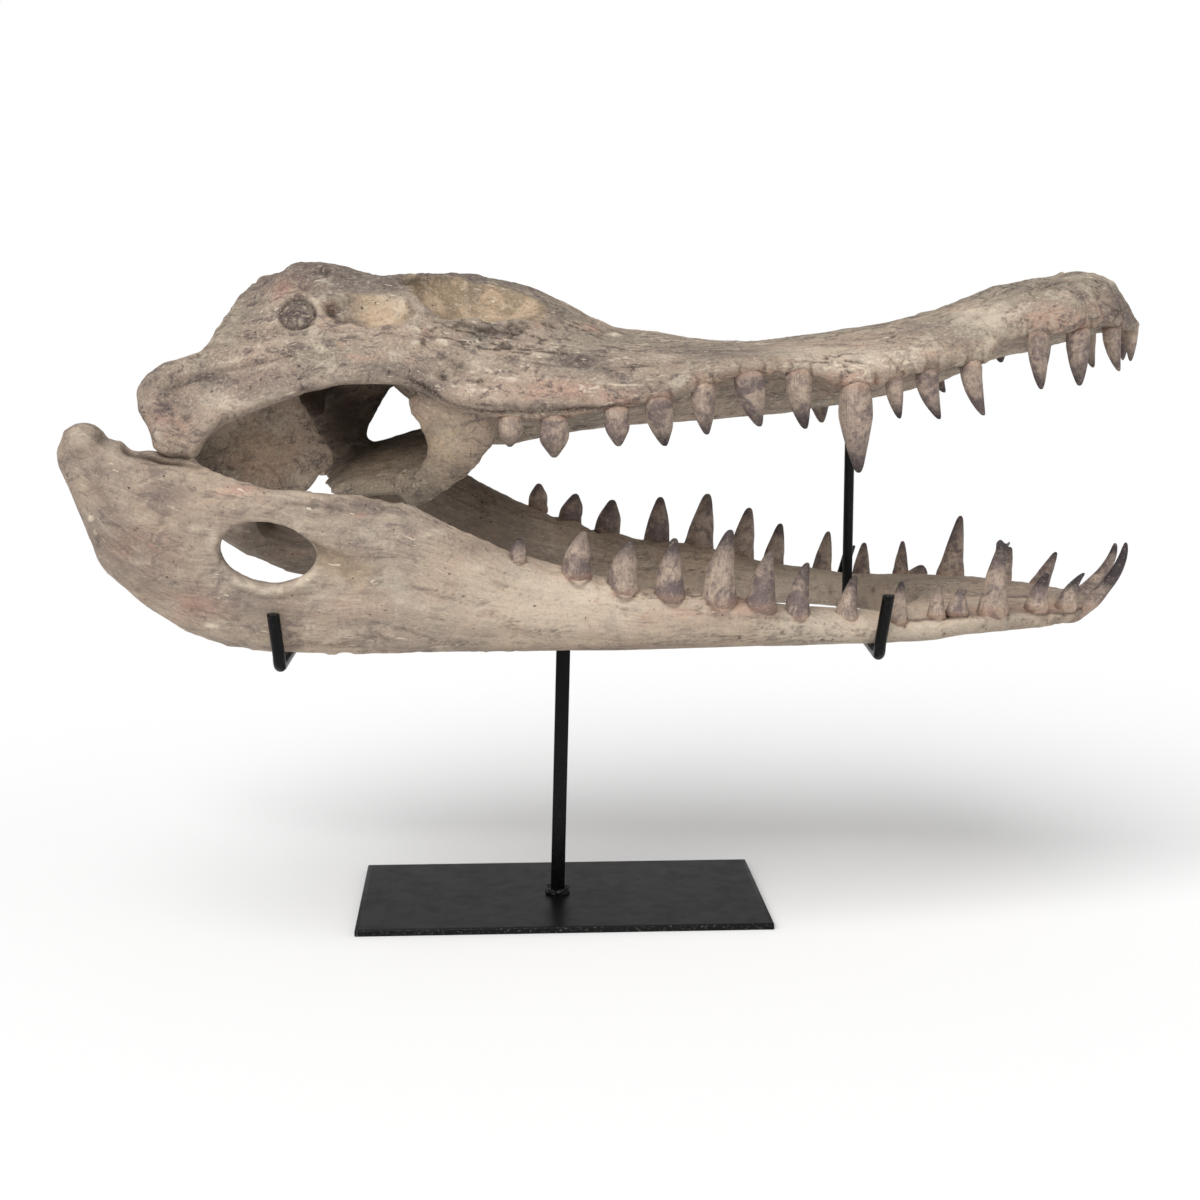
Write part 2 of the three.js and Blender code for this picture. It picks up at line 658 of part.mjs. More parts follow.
/** The flat base plate with slightly eased corners. */
function basePlate() {
  const { length, width, thickness, corner } = PLATE;
  const outline = new THREE.Shape();
  const a = length / 2;
  const b = width / 2;
  outline.moveTo(-a + corner, -b).lineTo(a - corner, -b).lineTo(a, -b + corner).lineTo(a, b - corner);
  outline.lineTo(a - corner, b).lineTo(-a + corner, b).lineTo(-a, b - corner).lineTo(-a, -b + corner);
  const geometry = new THREE.ExtrudeGeometry(outline, { depth: thickness, bevelEnabled: false });
  geometry.rotateZ(THREE.MathUtils.degToRad(PLATE_TURN_DEG));
  geometry.translate(PLATE_CENTRE.x, PLATE_CENTRE.y, 0);
  return toSolid(geometry);
}

/** The square post with a weld collar at its foot, leaning a little forwards. */
function post() {
  const foot = PLATE.thickness + GAP;
  const head = SPINE_TOP + rollLift(0) - BAR - 2 * GAP;
  const lean = (head - foot) * Math.tan(THREE.MathUtils.degToRad(POST_LEAN_DEG));
  const square = (half, x, z) =>
    [[-1, -1], [1, -1], [1, 1], [-1, 1]].map(([a, b]) => new THREE.Vector3(x + a * half, b * half, z));
  return loft([
    square(BAR / 2 + WELD.reach, 0, foot),
    square(BAR / 2 + WELD.reach * WELD.midReach, 0.1, foot + WELD.height * WELD.midHeight),
    square(BAR / 2, 0.2, foot + WELD.height),
    square(BAR / 2, lean, head),
  ]);
}

/** The bar along the middle that joins the post to both cross bars. */
function spine() {
  const half = BAR / 2;
  const rear = REAR_HOOK_X + HOOK.bar / 2 + GAP;
  const front = FRONT_HOOK_X - HOOK.bar / 2 - GAP;
  return rolled(block([rear, -half, SPINE_TOP - BAR], [front, half, SPINE_TOP]));
}

/** A round bar across under the lower jaw, turned up into a finger at each end, which leans along x. */
function crossBar(x, lean) {
  const radius = HOOK.bar / 2;
  const level = RAMUS.bottom(x) - radius - GAP;
  const reach = RAMUS.outer(x) + radius + HOOK.play;
  const bend = HOOK.bend;
  const fingerFoot = level + bend;
  const corner = Array.from({ length: 4 }, (_, i) => {
    const angle = (Math.PI / 2) * (i / 3);
    return [reach - bend + bend * Math.sin(angle), level + bend - bend * Math.cos(angle)];
  });
  const right = [[reach, HOOK.tip], [reach, HOOK.tip - HOOK.chamfer], ...corner.reverse()];
  const whole = [...right.map(([y, z]) => [-y, z]), ...right.reverse()];
  const rings = whole.map(([y, z], i) => {
    const before = whole[Math.max(i - 1, 0)];
    const after = whole[Math.min(i + 1, whole.length - 1)];
    const along = new THREE.Vector2(after[0] - before[0], after[1] - before[1]).normalize();
    const size = i === 0 || i === whole.length - 1 ? radius * HOOK.endShare : radius;
    const shift = lean * Math.max(0, (z - fingerFoot) / (HOOK.tip - fingerFoot));
    return Array.from({ length: BAR_SIDES }, (_, k) => {
      const angle = (2 * Math.PI * k) / BAR_SIDES;
      const sideways = size * Math.sin(angle);
      const around = x + shift + size * Math.cos(angle);
      return new THREE.Vector3(around, y - along.y * sideways, z + along.x * sideways);
    });
  });
  return rolled(loft(rings));
}

/** The thin rod that holds the upper jaw up. */
function jawRod() {
  const low = SPINE_TOP + rollLift(0) + 2 * GAP;
  const high = FACE.palate(JAW_ROD.x) - 1;
  const geometry = new THREE.CylinderGeometry(JAW_ROD.radius, JAW_ROD.radius, high - low, 12);
  geometry.rotateX(Math.PI / 2);
  geometry.translate(JAW_ROD.x, 0, (low + high) / 2);
  return toSolid(geometry);
}

// ---------------------------------------------------------------- the part

const bone = new THREE.MeshStandardMaterial({ color: 0xa89484, roughness: 0.78, metalness: 0 });
const jawBone = new THREE.MeshStandardMaterial({ color: 0xa5917f, roughness: 0.78, metalness: 0 });
const blackPaint = new THREE.MeshStandardMaterial({ color: 0x141414, roughness: 0.45, metalness: 0.1 });

const skull = new THREE.Group();
skull.add(
  node("cranium", cranium(), bone),
  node("mandible_right", mandibleHalf(SIDES.right), jawBone),
  node("mandible_left", mandibleHalf(SIDES.left), jawBone),
);

const stand = new THREE.Group();
stand.add(
  node("stand_base", basePlate(), blackPaint),
  node("stand_post", post(), blackPaint),
  node("stand_spine", spine(), blackPaint),
  node("stand_cross_rear", crossBar(REAR_HOOK_X, REAR_HOOK_LEAN), blackPaint),
  node("stand_cross_front", crossBar(FRONT_HOOK_X, FRONT_HOOK_LEAN), blackPaint),
  node("stand_jaw_rod", jawRod(), blackPaint),
);

const part = new THREE.Group();
part.add(skull, stand);
export default part;
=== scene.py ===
"""Cast crocodile skull with open jaws, held on a black painted steel stand.

Metres, +Z up, +X towards the snout, -Y the skull's right side. The sculpting works in millimetres.
"""

import json
import logging
import math
from collections.abc import Callable
from dataclasses import dataclass
from enum import Enum

import bpy
import numpy as np
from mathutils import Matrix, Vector
from mathutils.bvhtree import BVHTree

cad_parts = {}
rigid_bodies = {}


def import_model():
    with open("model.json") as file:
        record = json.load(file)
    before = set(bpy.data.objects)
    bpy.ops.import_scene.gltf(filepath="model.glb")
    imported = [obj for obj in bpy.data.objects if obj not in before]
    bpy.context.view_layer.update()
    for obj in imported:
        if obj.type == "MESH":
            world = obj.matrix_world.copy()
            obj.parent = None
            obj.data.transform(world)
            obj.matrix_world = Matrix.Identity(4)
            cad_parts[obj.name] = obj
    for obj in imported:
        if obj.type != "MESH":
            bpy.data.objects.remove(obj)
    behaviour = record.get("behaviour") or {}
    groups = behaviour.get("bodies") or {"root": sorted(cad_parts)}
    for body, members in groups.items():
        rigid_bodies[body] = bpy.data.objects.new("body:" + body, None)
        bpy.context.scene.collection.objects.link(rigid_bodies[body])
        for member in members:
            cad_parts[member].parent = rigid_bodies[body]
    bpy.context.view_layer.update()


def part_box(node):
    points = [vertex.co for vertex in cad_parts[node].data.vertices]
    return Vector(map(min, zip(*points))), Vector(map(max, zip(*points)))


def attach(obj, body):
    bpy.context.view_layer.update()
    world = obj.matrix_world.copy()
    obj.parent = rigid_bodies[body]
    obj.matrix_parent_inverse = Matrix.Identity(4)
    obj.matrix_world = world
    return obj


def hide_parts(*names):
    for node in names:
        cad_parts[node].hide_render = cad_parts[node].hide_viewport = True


LOG = logging.getLogger("skull")
MM = 0.001
# a bone is thinned to no more than this many triangles; an exported piece stays below
# 200,000 triangles
PIECE_TRIANGLES = 192000


# ---------------------------------------------------------------- shared choices


class Side(Enum):
    """A side of the skull, with the sign of its y."""

    RIGHT = -1
    LEFT = 1


class Jaw(Enum):
    """A jaw, with the direction in which its teeth stand."""

    UPPER = -1
    LOWER = 1


# ---------------------------------------------------------------- numbers in space


class Grain:
    """Smooth noise that gives the same values each run."""

    AXIS_KEYS = (374761393, 668265263, 2147483647)
    SEED_KEY = 1274126177
    KEPT_BITS = 0xFFFFFFFF
    READ_BITS = 0xFFFF
    LAYER_SHIFT = 17.3
    LAYER_SUM = 1.6

    @classmethod
    def _lattice(cls, cell: np.ndarray, seed: int) -> np.ndarray:
        """Give one value from 0 to 1 to each whole-numbered place.

        Args:
            cell: N by 3 whole numbers.
            seed: Which noise it is.

        Returns:
            N values.
        """
        key = cell.astype(np.int64)
        mixed = sum(key[:, axis] * number for axis, number in enumerate(cls.AXIS_KEYS))
        mixed = mixed + seed * cls.SEED_KEY
        mixed = (mixed ^ (mixed >> 13)) & cls.KEPT_BITS
        mixed = (mixed * cls.SEED_KEY) & cls.KEPT_BITS
        mixed = mixed ^ (mixed >> 16)
        return (mixed & cls.READ_BITS) / cls.READ_BITS

    @classmethod
    def value(cls, points: np.ndarray, seed: int) -> np.ndarray:
        """Read smooth noise from -1 to 1 with a feature size of one unit.

        Args:
            points: N by 3 places.
            seed: Which noise it is.

        Returns:
            N values.
        """
        low = np.floor(points)
        part = points - low
        part = part * part * part * (part * (part * 6 - 15) + 10)
        total = np.zeros(len(points))
        for corner in range(8):
            step = np.array([corner & 1, (corner >> 1) & 1, (corner >> 2) & 1])
            weight = np.prod(np.where(step == 1, part, 1 - part), axis=1)
            total += weight * cls._lattice(low + step, seed)
        return total * 2 - 1

    @classmethod
    def layered(cls, points: np.ndarray, size: tuple, octaves: int, seed: int) -> np.ndarray:
        """Add noise of halving feature sizes.

        Args:
            points: N by 3 places.
            size: Feature size along each axis.
            octaves: How many layers.
            seed: Which noise it is.

        Returns:
            N values from about -1 to 1.
        """
        total = np.zeros(len(points))
        scaled = points / np.array(size, dtype=float)
        for layer in range(octaves):
            total += 0.5**layer * cls.value(scaled * 2**layer + cls.LAYER_SHIFT * layer, seed + layer)
        return total / cls.LAYER_SUM


def smooth_step(value: np.ndarray, low: float, high: float) -> np.ndarray:
    """Rise smoothly from 0 at low to 1 at high.

    Args:
        value: What is read.
        low: Where the rise starts.
        high: Where the rise ends, below low for a fall.

    Returns:
        Values from 0 to 1.
    """
    t = np.clip((value - low) / (high - low), 0, 1)
    return t * t * (3 - 2 * t)


def bell(value: np.ndarray, middle: float, width: float) -> np.ndarray:
    """Rise to 1 at the middle and fall to 0 on both sides.

    Args:
        value: What is read.
        middle: Where it is 1.
        width: How far off it has fallen to about a third.

    Returns:
        Values from 0 to 1.
    """
    return np.exp(-(((value - middle) / width) ** 2))


def blob(points: np.ndarray, centre: tuple, radii: tuple) -> np.ndarray:
    """Give a soft ellipsoid mask: 1 at its centre, near 0 past its radii.

    Args:
        points: N by 3 places.
        centre: The ellipsoid's middle.
        radii: Its three radii.

    Returns:
        N values from 0 to 1.
    """
    away = (points - np.array(centre)) / np.array(radii, dtype=float)
    return np.exp(-1.8 * np.sum(away * away, axis=1))


def along_line(points: np.ndarray, line: list) -> np.ndarray:
    """Measure the distance from each place to a line of straight stretches.

    Args:
        points: N by k places.
        line: Two or more places with k numbers.

    Returns:
        N distances.
    """
    nearest = np.full(len(points), 1e9)
    for start, end in zip(line[:-1], line[1:]):
        a = np.array(start, dtype=float)
        b = np.array(end, dtype=float) - a
        share = np.clip((points - a) @ b / (b @ b), 0, 1)
        gap = np.linalg.norm(points - a - share[:, None] * b, axis=1)
        nearest = np.minimum(nearest, gap)
    return nearest


# ---------------------------------------------------------------- modelling by hand


class Bench:
    """The modelling moves that every piece uses."""

    @staticmethod
    def clear() -> None:
        """Deselect everything and leave edit mode."""
        if bpy.context.object and bpy.context.object.mode != "OBJECT":
            Bench.leave()
        bpy.ops.object.select_all(action="DESELECT")

    @staticmethod
    def pick(piece: bpy.types.Object) -> None:
        """Make one piece the only one selected, and active."""
        Bench.clear()
        piece.select_set(True)
        bpy.context.view_layer.objects.active = piece

    @staticmethod
    def edit() -> None:
        """Go into edit mode."""
        bpy.ops.object.mode_set(mode="EDIT")

    @staticmethod
    def leave() -> None:
        """Go back to object mode."""
        bpy.ops.object.mode_set(mode="OBJECT")

    @staticmethod
    def settle() -> None:
        """Apply the active piece's place, so that its object sits at the origin."""
        bpy.ops.object.transform_apply(location=True, rotation=True, scale=True)

    @staticmethod
    def disc(corners: int, radius: float, place: tuple) -> bpy.types.Object:
        """Add a flat disc, all of it selected in edit mode, to draw a bar or a crown from.

        Args:
            corners: How many corners it has.
            radius: Its radius in metres.
            place: Its middle in metres.

        Returns:
            The disc.
        """
        Bench.clear()
        bpy.ops.mesh.primitive_circle_add(
            vertices=corners, radius=radius, fill_type="NGON", location=place)
        disc = bpy.context.object
        Bench.settle()
        Bench.edit()
        bpy.ops.mesh.select_mode(type="FACE")
        bpy.ops.mesh.select_all(action="SELECT")
        return disc

    @staticmethod
    def join(pieces: list) -> bpy.types.Object:
        """Join pieces into the first of them."""
        Bench.clear()
        for piece in pieces:
            piece.select_set(True)
        bpy.context.view_layer.objects.active = pieces[0]
        bpy.ops.object.join()
        return bpy.context.object

    @staticmethod
    def ease(size: float) -> None:
        """Round the selected edges by a size in millimetres."""
        bpy.ops.mesh.bevel(offset=size * MM, segments=3, profile=0.5, affect="EDGES")

    @staticmethod
    def finish(piece: bpy.types.Object, angle: float | None = None) -> bpy.types.Object:
        """Apply a piece's place, merge its doubles, face it outwards and shade it.

        Args:
            piece: The mesh object.
            angle: Above this many degrees an edge stays sharp, or None for smooth all over.

        Returns:
            The same piece.
        """
        Bench.pick(piece)
        Bench.settle()
        Bench.edit()
        bpy.ops.mesh.select_all(action="SELECT")
        bpy.ops.mesh.remove_doubles(threshold=1e-6)
        bpy.ops.mesh.normals_make_consistent(inside=False)
        Bench.leave()
        if angle is None:
            bpy.ops.object.shade_smooth()
        else:
            bpy.ops.object.shade_smooth_by_angle(angle=math.radians(angle))
        Bench.clear()
        return piece

    @staticmethod
    def modifier(piece: bpy.types.Object, kind: str, **settings: object) -> None:
        """Add a modifier to a piece and apply it.

        Args:
            piece: The mesh object.
            kind: The modifier's type.
            **settings: Its settings.
        """
        Bench.pick(piece)
        made = piece.modifiers.new(kind.lower(), kind)
        for name, value in settings.items():
            setattr(made, name, value)
        bpy.ops.object.modifier_apply(modifier=made.name)

    @staticmethod
    def thin_out(piece: bpy.types.Object, limit: int) -> None:
        """Merge the least needed faces of a piece until it has no more triangles than the limit."""
        count = sum(len(face.vertices) - 2 for face in piece.data.polygons)
        if count > limit:
            Bench.modifier(piece, "DECIMATE", ratio=limit / count)

    @staticmethod
    def select(piece: bpy.types.Object, kind: str, test: Callable) -> None:
        """Select the faces, edges or vertices of the piece in edit mode that pass a test.

        Args:
            piece: The mesh object, in edit mode.
            kind: VERT, EDGE or FACE.
            test: Called with the element, true to select it.
        """
        bpy.ops.mesh.select_mode(type=kind)
        bpy.ops.mesh.select_all(action="DESELECT")
        Bench.leave()
        mesh = piece.data
        pool = {"VERT": mesh.vertices, "EDGE": mesh.edges, "FACE": mesh.polygons}[kind]
        for element in pool:
            element.select = bool(test(element))
        Bench.edit()

    @staticmethod
    def dress(piece: bpy.types.Object, finish: bpy.types.Material, slot: str, *nodes: str) -> None:
        """Paint a finished piece and tie it to the part.

        Args:
            piece: The mesh object.
            finish: Its material.
            slot: Not used.
            *nodes: The CAD nodes that it stands for.
        """
        piece.data.materials.clear()
        piece.data.materials.append(finish)
        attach(piece, "root")
        if nodes:
            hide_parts(*nodes)
        LOG.info("%s: %d faces", piece.name, len(piece.data.polygons))


class Clay:
    """A mesh's points as arrays, for shaping all of them at once."""

    def __init__(self, piece: bpy.types.Object) -> None:
        """Read the piece's points, in millimetres, and its edges."""
        self.piece = piece
        mesh = piece.data
        self.points = np.empty(len(mesh.vertices) * 3)
        mesh.vertices.foreach_get("co", self.points)
        self.points = self.points.reshape(-1, 3) / MM
        edges = np.empty(len(mesh.edges) * 2, dtype=np.int64)
        mesh.edges.foreach_get("vertices", edges)
        self.edges = edges.reshape(-1, 2)
        self.degree = np.maximum(np.bincount(self.edges.ravel(), minlength=len(self.points)), 1)

    def around(self, values: np.ndarray) -> np.ndarray:
        """Average the neighbours' values of each point.

        Args:
            values: N or N by k values.

        Returns:
            Values of the same shape.
        """
        flat = values.reshape(len(values), -1)
        a, b = self.edges[:, 0], self.edges[:, 1]
        out = np.empty_like(flat)
        for k in range(flat.shape[1]):
            total = np.bincount(a, weights=flat[b, k], minlength=len(flat))
            total += np.bincount(b, weights=flat[a, k], minlength=len(flat))
            out[:, k] = total / self.degree
        return out.reshape(values.shape)

    def relax(self, rounds: int, keep: bool = True) -> None:
        """Smooth the points, without shrinking where keep is set."""
        for _ in range(rounds):
            self.points += 0.5 * (self.around(self.points) - self.points)
            if keep:
                self.points -= 0.53 * (self.around(self.points) - self.points)

    def spread(self, values: np.ndarray, rounds: int) -> np.ndarray:
        """Blur values over the surface.

        Args:
            values: N values.
            rounds: How far.

        Returns:
            N values.
        """
        for _ in range(rounds):
            values = 0.5 * values + 0.5 * self.around(values)
        return values

    def normals(self) -> np.ndarray:
        """Give the outward direction at each point."""
        self.store()
        out = np.empty(len(self.points) * 3)
        self.piece.data.vertex_normals.foreach_get("vector", out)
        return out.reshape(-1, 3)

    def push(self, amount: np.ndarray) -> None:
        """Move each point outwards by its amount in millimetres."""
        self.points += self.normals() * amount[:, None]

    def hollow(self, rounds: int) -> np.ndarray:
        """Measure how far each point lies below (positive) or above its blurred surroundings."""
        blurred = self.points.copy()
        for _ in range(rounds):
            blurred = 0.5 * blurred + 0.5 * self.around(blurred)
        return np.sum((blurred - self.points) * self.normals(), axis=1)

    def store(self) -> None:
        """Write the points back into the mesh."""
        self.piece.data.vertices.foreach_set("co", (self.points * MM).ravel())
        self.piece.data.update()

    def note(self, name: str, values: np.ndarray) -> None:
        """Keep values with the mesh: N by 3 as a colour, for the finishes to read.

        Args:
            name: The attribute's name.
            values: N by 3 values.
        """
        mesh = self.piece.data
        if name in mesh.attributes:
            mesh.attributes.remove(mesh.attributes[name])
        kept = mesh.attributes.new(name, "FLOAT_COLOR", "POINT")
        rgba = np.ones((len(values), 4), dtype=np.float32)
        rgba[:, :3] = values
        kept.data.foreach_set("color", rgba.ravel())

    def noted(self, name: str) -> np.ndarray:
        """Read values back from the mesh, N by 3."""
        kept = self.piece.data.attributes[name]
        rgba = np.empty(len(self.points) * 4, dtype=np.float32)
        kept.data.foreach_get("color", rgba)
        return rgba.reshape(-1, 4)[:, :3].astype(float)


# ---------------------------------------------------------------- finishes


def paint(red: int, green: int, blue: int) -> tuple:
    """Turn a colour of 0 to 255 as seen into the light values a shader takes."""
    def light(level: int) -> float:
        """Undo the display curve of one channel."""
        c = level / 255
        return c / 12.92 if c <= 0.04045 else ((c + 0.055) / 1.055) ** 2.4

    return (light(red), light(green), light(blue), 1.0)


class Sheet:
    """A material under construction, with short names for its nodes."""

    def __init__(self, name: str) -> None:
        """Start a material with an empty principled surface."""
        self.material = bpy.data.materials.new(name)
        self.material.use_nodes = True
        self.tree = self.material.node_tree
        self.tree.nodes.clear()
        self.out = self.tree.nodes.new("ShaderNodeOutputMaterial")
        self.surface = self.tree.nodes.new("ShaderNodeBsdfPrincipled")
        self.tree.links.new(self.surface.outputs["BSDF"], self.out.inputs["Surface"])
        self.place = self.tree.nodes.new("ShaderNodeTexCoord").outputs["Object"]
        self.colour = None

    def put(self, socket: bpy.types.NodeSocket, value: object) -> None:
        """Link a socket to another, or set its own value."""
        if isinstance(value, bpy.types.NodeSocket):
            self.tree.links.new(value, socket)
        else:
            socket.default_value = value

    def kept(self, name: str) -> bpy.types.NodeSocket:
        """Read a colour kept with the mesh."""
        node = self.tree.nodes.new("ShaderNodeAttribute")
        node.attribute_name = name
        return node.outputs["Color"]

    def split(self, colour: bpy.types.NodeSocket) -> list:
        """Take a colour apart into its three values."""
        node = self.tree.nodes.new("ShaderNodeSeparateColor")
        self.put(node.inputs["Color"], colour)
        return [node.outputs["Red"], node.outputs["Green"], node.outputs["Blue"]]

    def stretch(self, vector: bpy.types.NodeSocket, scale: tuple,
                turn: tuple = (0, 0, 0)) -> bpy.types.NodeSocket:
        """Scale and turn the place that a pattern reads."""
        node = self.tree.nodes.new("ShaderNodeMapping")
        self.put(node.inputs["Vector"], vector)
        node.inputs["Scale"].default_value = scale
        node.inputs["Rotation"].default_value = turn
        return node.outputs["Vector"]

    def noise(self, vector: bpy.types.NodeSocket, scale: float, detail: float = 4, rough: float = 0.6,
              twist: float = 0) -> bpy.types.NodeSocket:
        """Read cloudy noise from 0 to 1."""
        node = self.tree.nodes.new("ShaderNodeTexNoise")
        self.put(node.inputs["Vector"], vector)
        node.inputs["Scale"].default_value = scale
        node.inputs["Detail"].default_value = detail
        node.inputs["Roughness"].default_value = rough
        node.inputs["Distortion"].default_value = twist
        return node.outputs["Fac"]

    def step(self, value: bpy.types.NodeSocket, low: float, high: float, start: float = 0,
             end: float = 1) -> bpy.types.NodeSocket:
        """Rise smoothly from start at low to end at high."""
        node = self.tree.nodes.new("ShaderNodeMapRange")
        node.interpolation_type = "SMOOTHSTEP"
        node.clamp = True
        self.put(node.inputs["Value"], value)
        for name, number in (("From Min", low), ("From Max", high), ("To Min", start), ("To Max", end)):
            node.inputs[name].default_value = number
        return node.outputs["Result"]

    def math(self, kind: str, a: object, b: object = 0.0, clamp: bool = False) -> bpy.types.NodeSocket:
        """Combine two values."""
        node = self.tree.nodes.new("ShaderNodeMath")
        node.operation = kind
        node.use_clamp = clamp
        self.put(node.inputs[0], a)
        self.put(node.inputs[1], b)
        return node.outputs[0]

    def times(self, a: object, b: object) -> bpy.types.NodeSocket:
        """Multiply two values."""
        return self.math("MULTIPLY", a, b)

    def plus(self, a: object, b: object) -> bpy.types.NodeSocket:
        """Add two values."""
        return self.math("ADD", a, b)

    def mix(self, share: object, a: object, b: object) -> bpy.types.NodeSocket:
        """Blend colour a into colour b."""
        node = self.tree.nodes.new("ShaderNodeMix")
        node.data_type = "RGBA"
        node.clamp_factor = True
        self.put(node.inputs[0], share)
        # the colour sockets A and B come after those for numbers and vectors
        self.put(node.inputs[6], a)
        self.put(node.inputs[7], b)
        return node.outputs[2]

    def coat(self, share: object, colour: object) -> None:
        """Lay a colour over what is painted so far."""
        self.colour = self.mix(share, self.colour, colour)

    def relief(self, height: bpy.types.NodeSocket, depth: float, strength: float) -> None:
        """Give the surface a fine relief of a depth in metres."""
        node = self.tree.nodes.new("ShaderNodeBump")
        node.inputs["Strength"].default_value = strength
        node.inputs["Distance"].default_value = depth
        self.put(node.inputs["Height"], height)
        self.put(self.surface.inputs["Normal"], node.outputs["Normal"])


@dataclass(frozen=True)
class WeatheredBone:
    """Cast resin, stained, dry-brushed and rubbed to look like old bone, with painted shade where light
    hardly reaches.
    """

    name: str
    warm: tuple
    cool: tuple
    streaks: float
    mottle: float
    speckle: float
    # dark brown for dirt in hollows, cracks and pits, and for the painted shadow line in the jaw's cup
    dirt: tuple = paint(52, 41, 36)
    plum: tuple = paint(86, 74, 73)
    pink: tuple = paint(180, 144, 126)
    cream: tuple = paint(214, 199, 178)
    amber: tuple = paint(142, 122, 96)
    honey: tuple = paint(190, 165, 136)
    peach: tuple = paint(172, 128, 104)
    rust: tuple = paint(92, 50, 36)
    # painted shade: the dark brown laid where light hardly reaches, in deep recesses and on inner faces
    cave: tuple = paint(58, 43, 31)

    def make(self) -> bpy.types.Material:
        """Build the material.

        Returns:
            The finished material.
        """
        s = Sheet(self.name)
        # the zones hold the gums, the amber and the painted shade
        socket, amber, cave = s.split(s.kept("zones"))
        plum, pink, cream = s.split(s.kept("tints"))
        hollow, raised, slit = s.split(s.kept("relief"))
        flow = s.kept("flow")
        cloud = s.noise(s.place, 13, 4, 0.6, 0.5)
        blot = s.noise(s.place, 42, 5, 0.68, 0.7)
        patch = s.noise(s.stretch(s.place, (0.6, 1, 1)), 105, 6, 0.74, 0.9)
        other = s.noise(s.stretch(s.place, (0.6, 1, 1), (0.3, 0.8, 1.7)), 70, 6, 0.72, 0.8)
        grit = s.noise(s.place, 520, 3, 0.75)
        fibre = s.noise(s.stretch(flow, (30, 640, 460)), 1, 6, 0.68, 0.25)
        hair = s.noise(s.stretch(flow, (42, 1500, 1100)), 1, 4, 0.72, 0.2)
        s.colour = s.mix(s.step(cloud, 0.34, 0.66), self.warm, self.cool)
        s.coat(s.times(pink, s.step(blot, 0.34, 0.56)), self.pink)
        s.coat(s.step(other, 0.55, 0.66, 0, 0.5 * self.mottle), self.pink)
        s.coat(s.step(patch, 0.5, 0.61, 0, 0.85 * self.mottle), self.plum)
        s.coat(s.step(blot, 0.47, 0.36, 0, 0.4 * self.mottle), self.cream)
        fleck = s.noise(s.stretch(s.place, (0.6, 1, 1)), 230, 5, 0.76, 0.4)
        s.coat(s.step(fleck, 0.56, 0.68, 0, 0.55 * self.mottle), self.cream)
        s.coat(s.step(fleck, 0.44, 0.33, 0, 0.6 * self.mottle), self.plum)
        s.coat(s.step(fibre, 0.52, 0.7, 0, 0.6 * self.streaks), self.cream)
        s.coat(s.step(fibre, 0.46, 0.32, 0, 0.7 * self.streaks), self.plum)
        s.coat(s.step(hair, 0.57, 0.7, 0, 0.6 * self.streaks), self.plum)
        # plum patches, along the lower edges of the arch and round the quadrate also painted shade
        s.coat(s.times(plum, s.step(other, 0.34, 0.56, 0.35, 1.0)), self.plum)
        gold = s.mix(s.step(blot, 0.42, 0.58), self.amber, self.honey)
        gold = s.mix(s.step(other, 0.5, 0.64, 0, 0.7), gold, self.cool)
        gold = s.mix(s.step(patch, 0.44, 0.34, 0, 0.6), gold, self.cream)
        s.coat(s.times(amber, 0.85), gold)
        pale = s.step(s.plus(patch, s.times(cream, 0.28)), 0.5, 0.64)
        s.coat(s.times(cream, pale), self.cream)
        edge = s.times(raised, s.step(grit, 0.44, 0.6))
        s.coat(s.times(edge, 0.55), self.cream)
        s.coat(s.times(socket, s.step(other, 0.4, 0.62, 0.05, 0.7)), self.peach)
        s.coat(s.times(s.times(socket, hollow), 0.9), self.rust)
        s.coat(s.times(hollow, s.step(grit, 0.3, 0.6, 0.5, 0.9)), self.dirt)
        # the slits hold cracks and stains, and the painted shadow line in the jaw's cup
        s.coat(s.times(slit, 0.85), self.dirt)
        s.coat(s.step(grit, 0.54, 0.68, 0, 0.5 * self.speckle), self.plum)
        s.coat(s.step(grit, 0.46, 0.34, 0, 0.34 * self.speckle), self.cream)
        nick = s.noise(s.stretch(flow, (75, 700, 560)), 1, 2, 0.5, 0.4)
        nicks = s.times(s.step(nick, 0.68, 0.72), s.step(cloud, 0.4, 0.5))
        s.coat(s.times(nicks, 0.8), self.cream)
        pit = s.times(s.step(s.noise(s.place, 330, 2, 0.5), 0.7, 0.76), s.step(blot, 0.44, 0.56))
        s.coat(s.times(pit, 0.8), self.dirt)
        # painted shade laid over the recesses and inner faces that light hardly reaches
        s.coat(s.times(cave, 0.93), self.cave)
        s.put(s.surface.inputs["Base Color"], s.colour)
        s.put(s.surface.inputs["Roughness"], s.step(blot, 0.3, 0.7, 0.64, 0.86))
        s.surface.inputs["Specular IOR Level"].default_value = 0.3
        height = s.plus(s.times(fibre, self.streaks), s.times(patch, 1.2 * self.mottle))
        height = s.plus(height, s.times(hair, 0.4 * self.streaks))
        height = s.plus(height, s.times(grit, 0.4))
        height = s.math("SUBTRACT", height, s.plus(s.times(pit, 0.9), s.times(nicks, 0.3)))
        s.relief(height, 0.0013, 0.9)
        return s.material


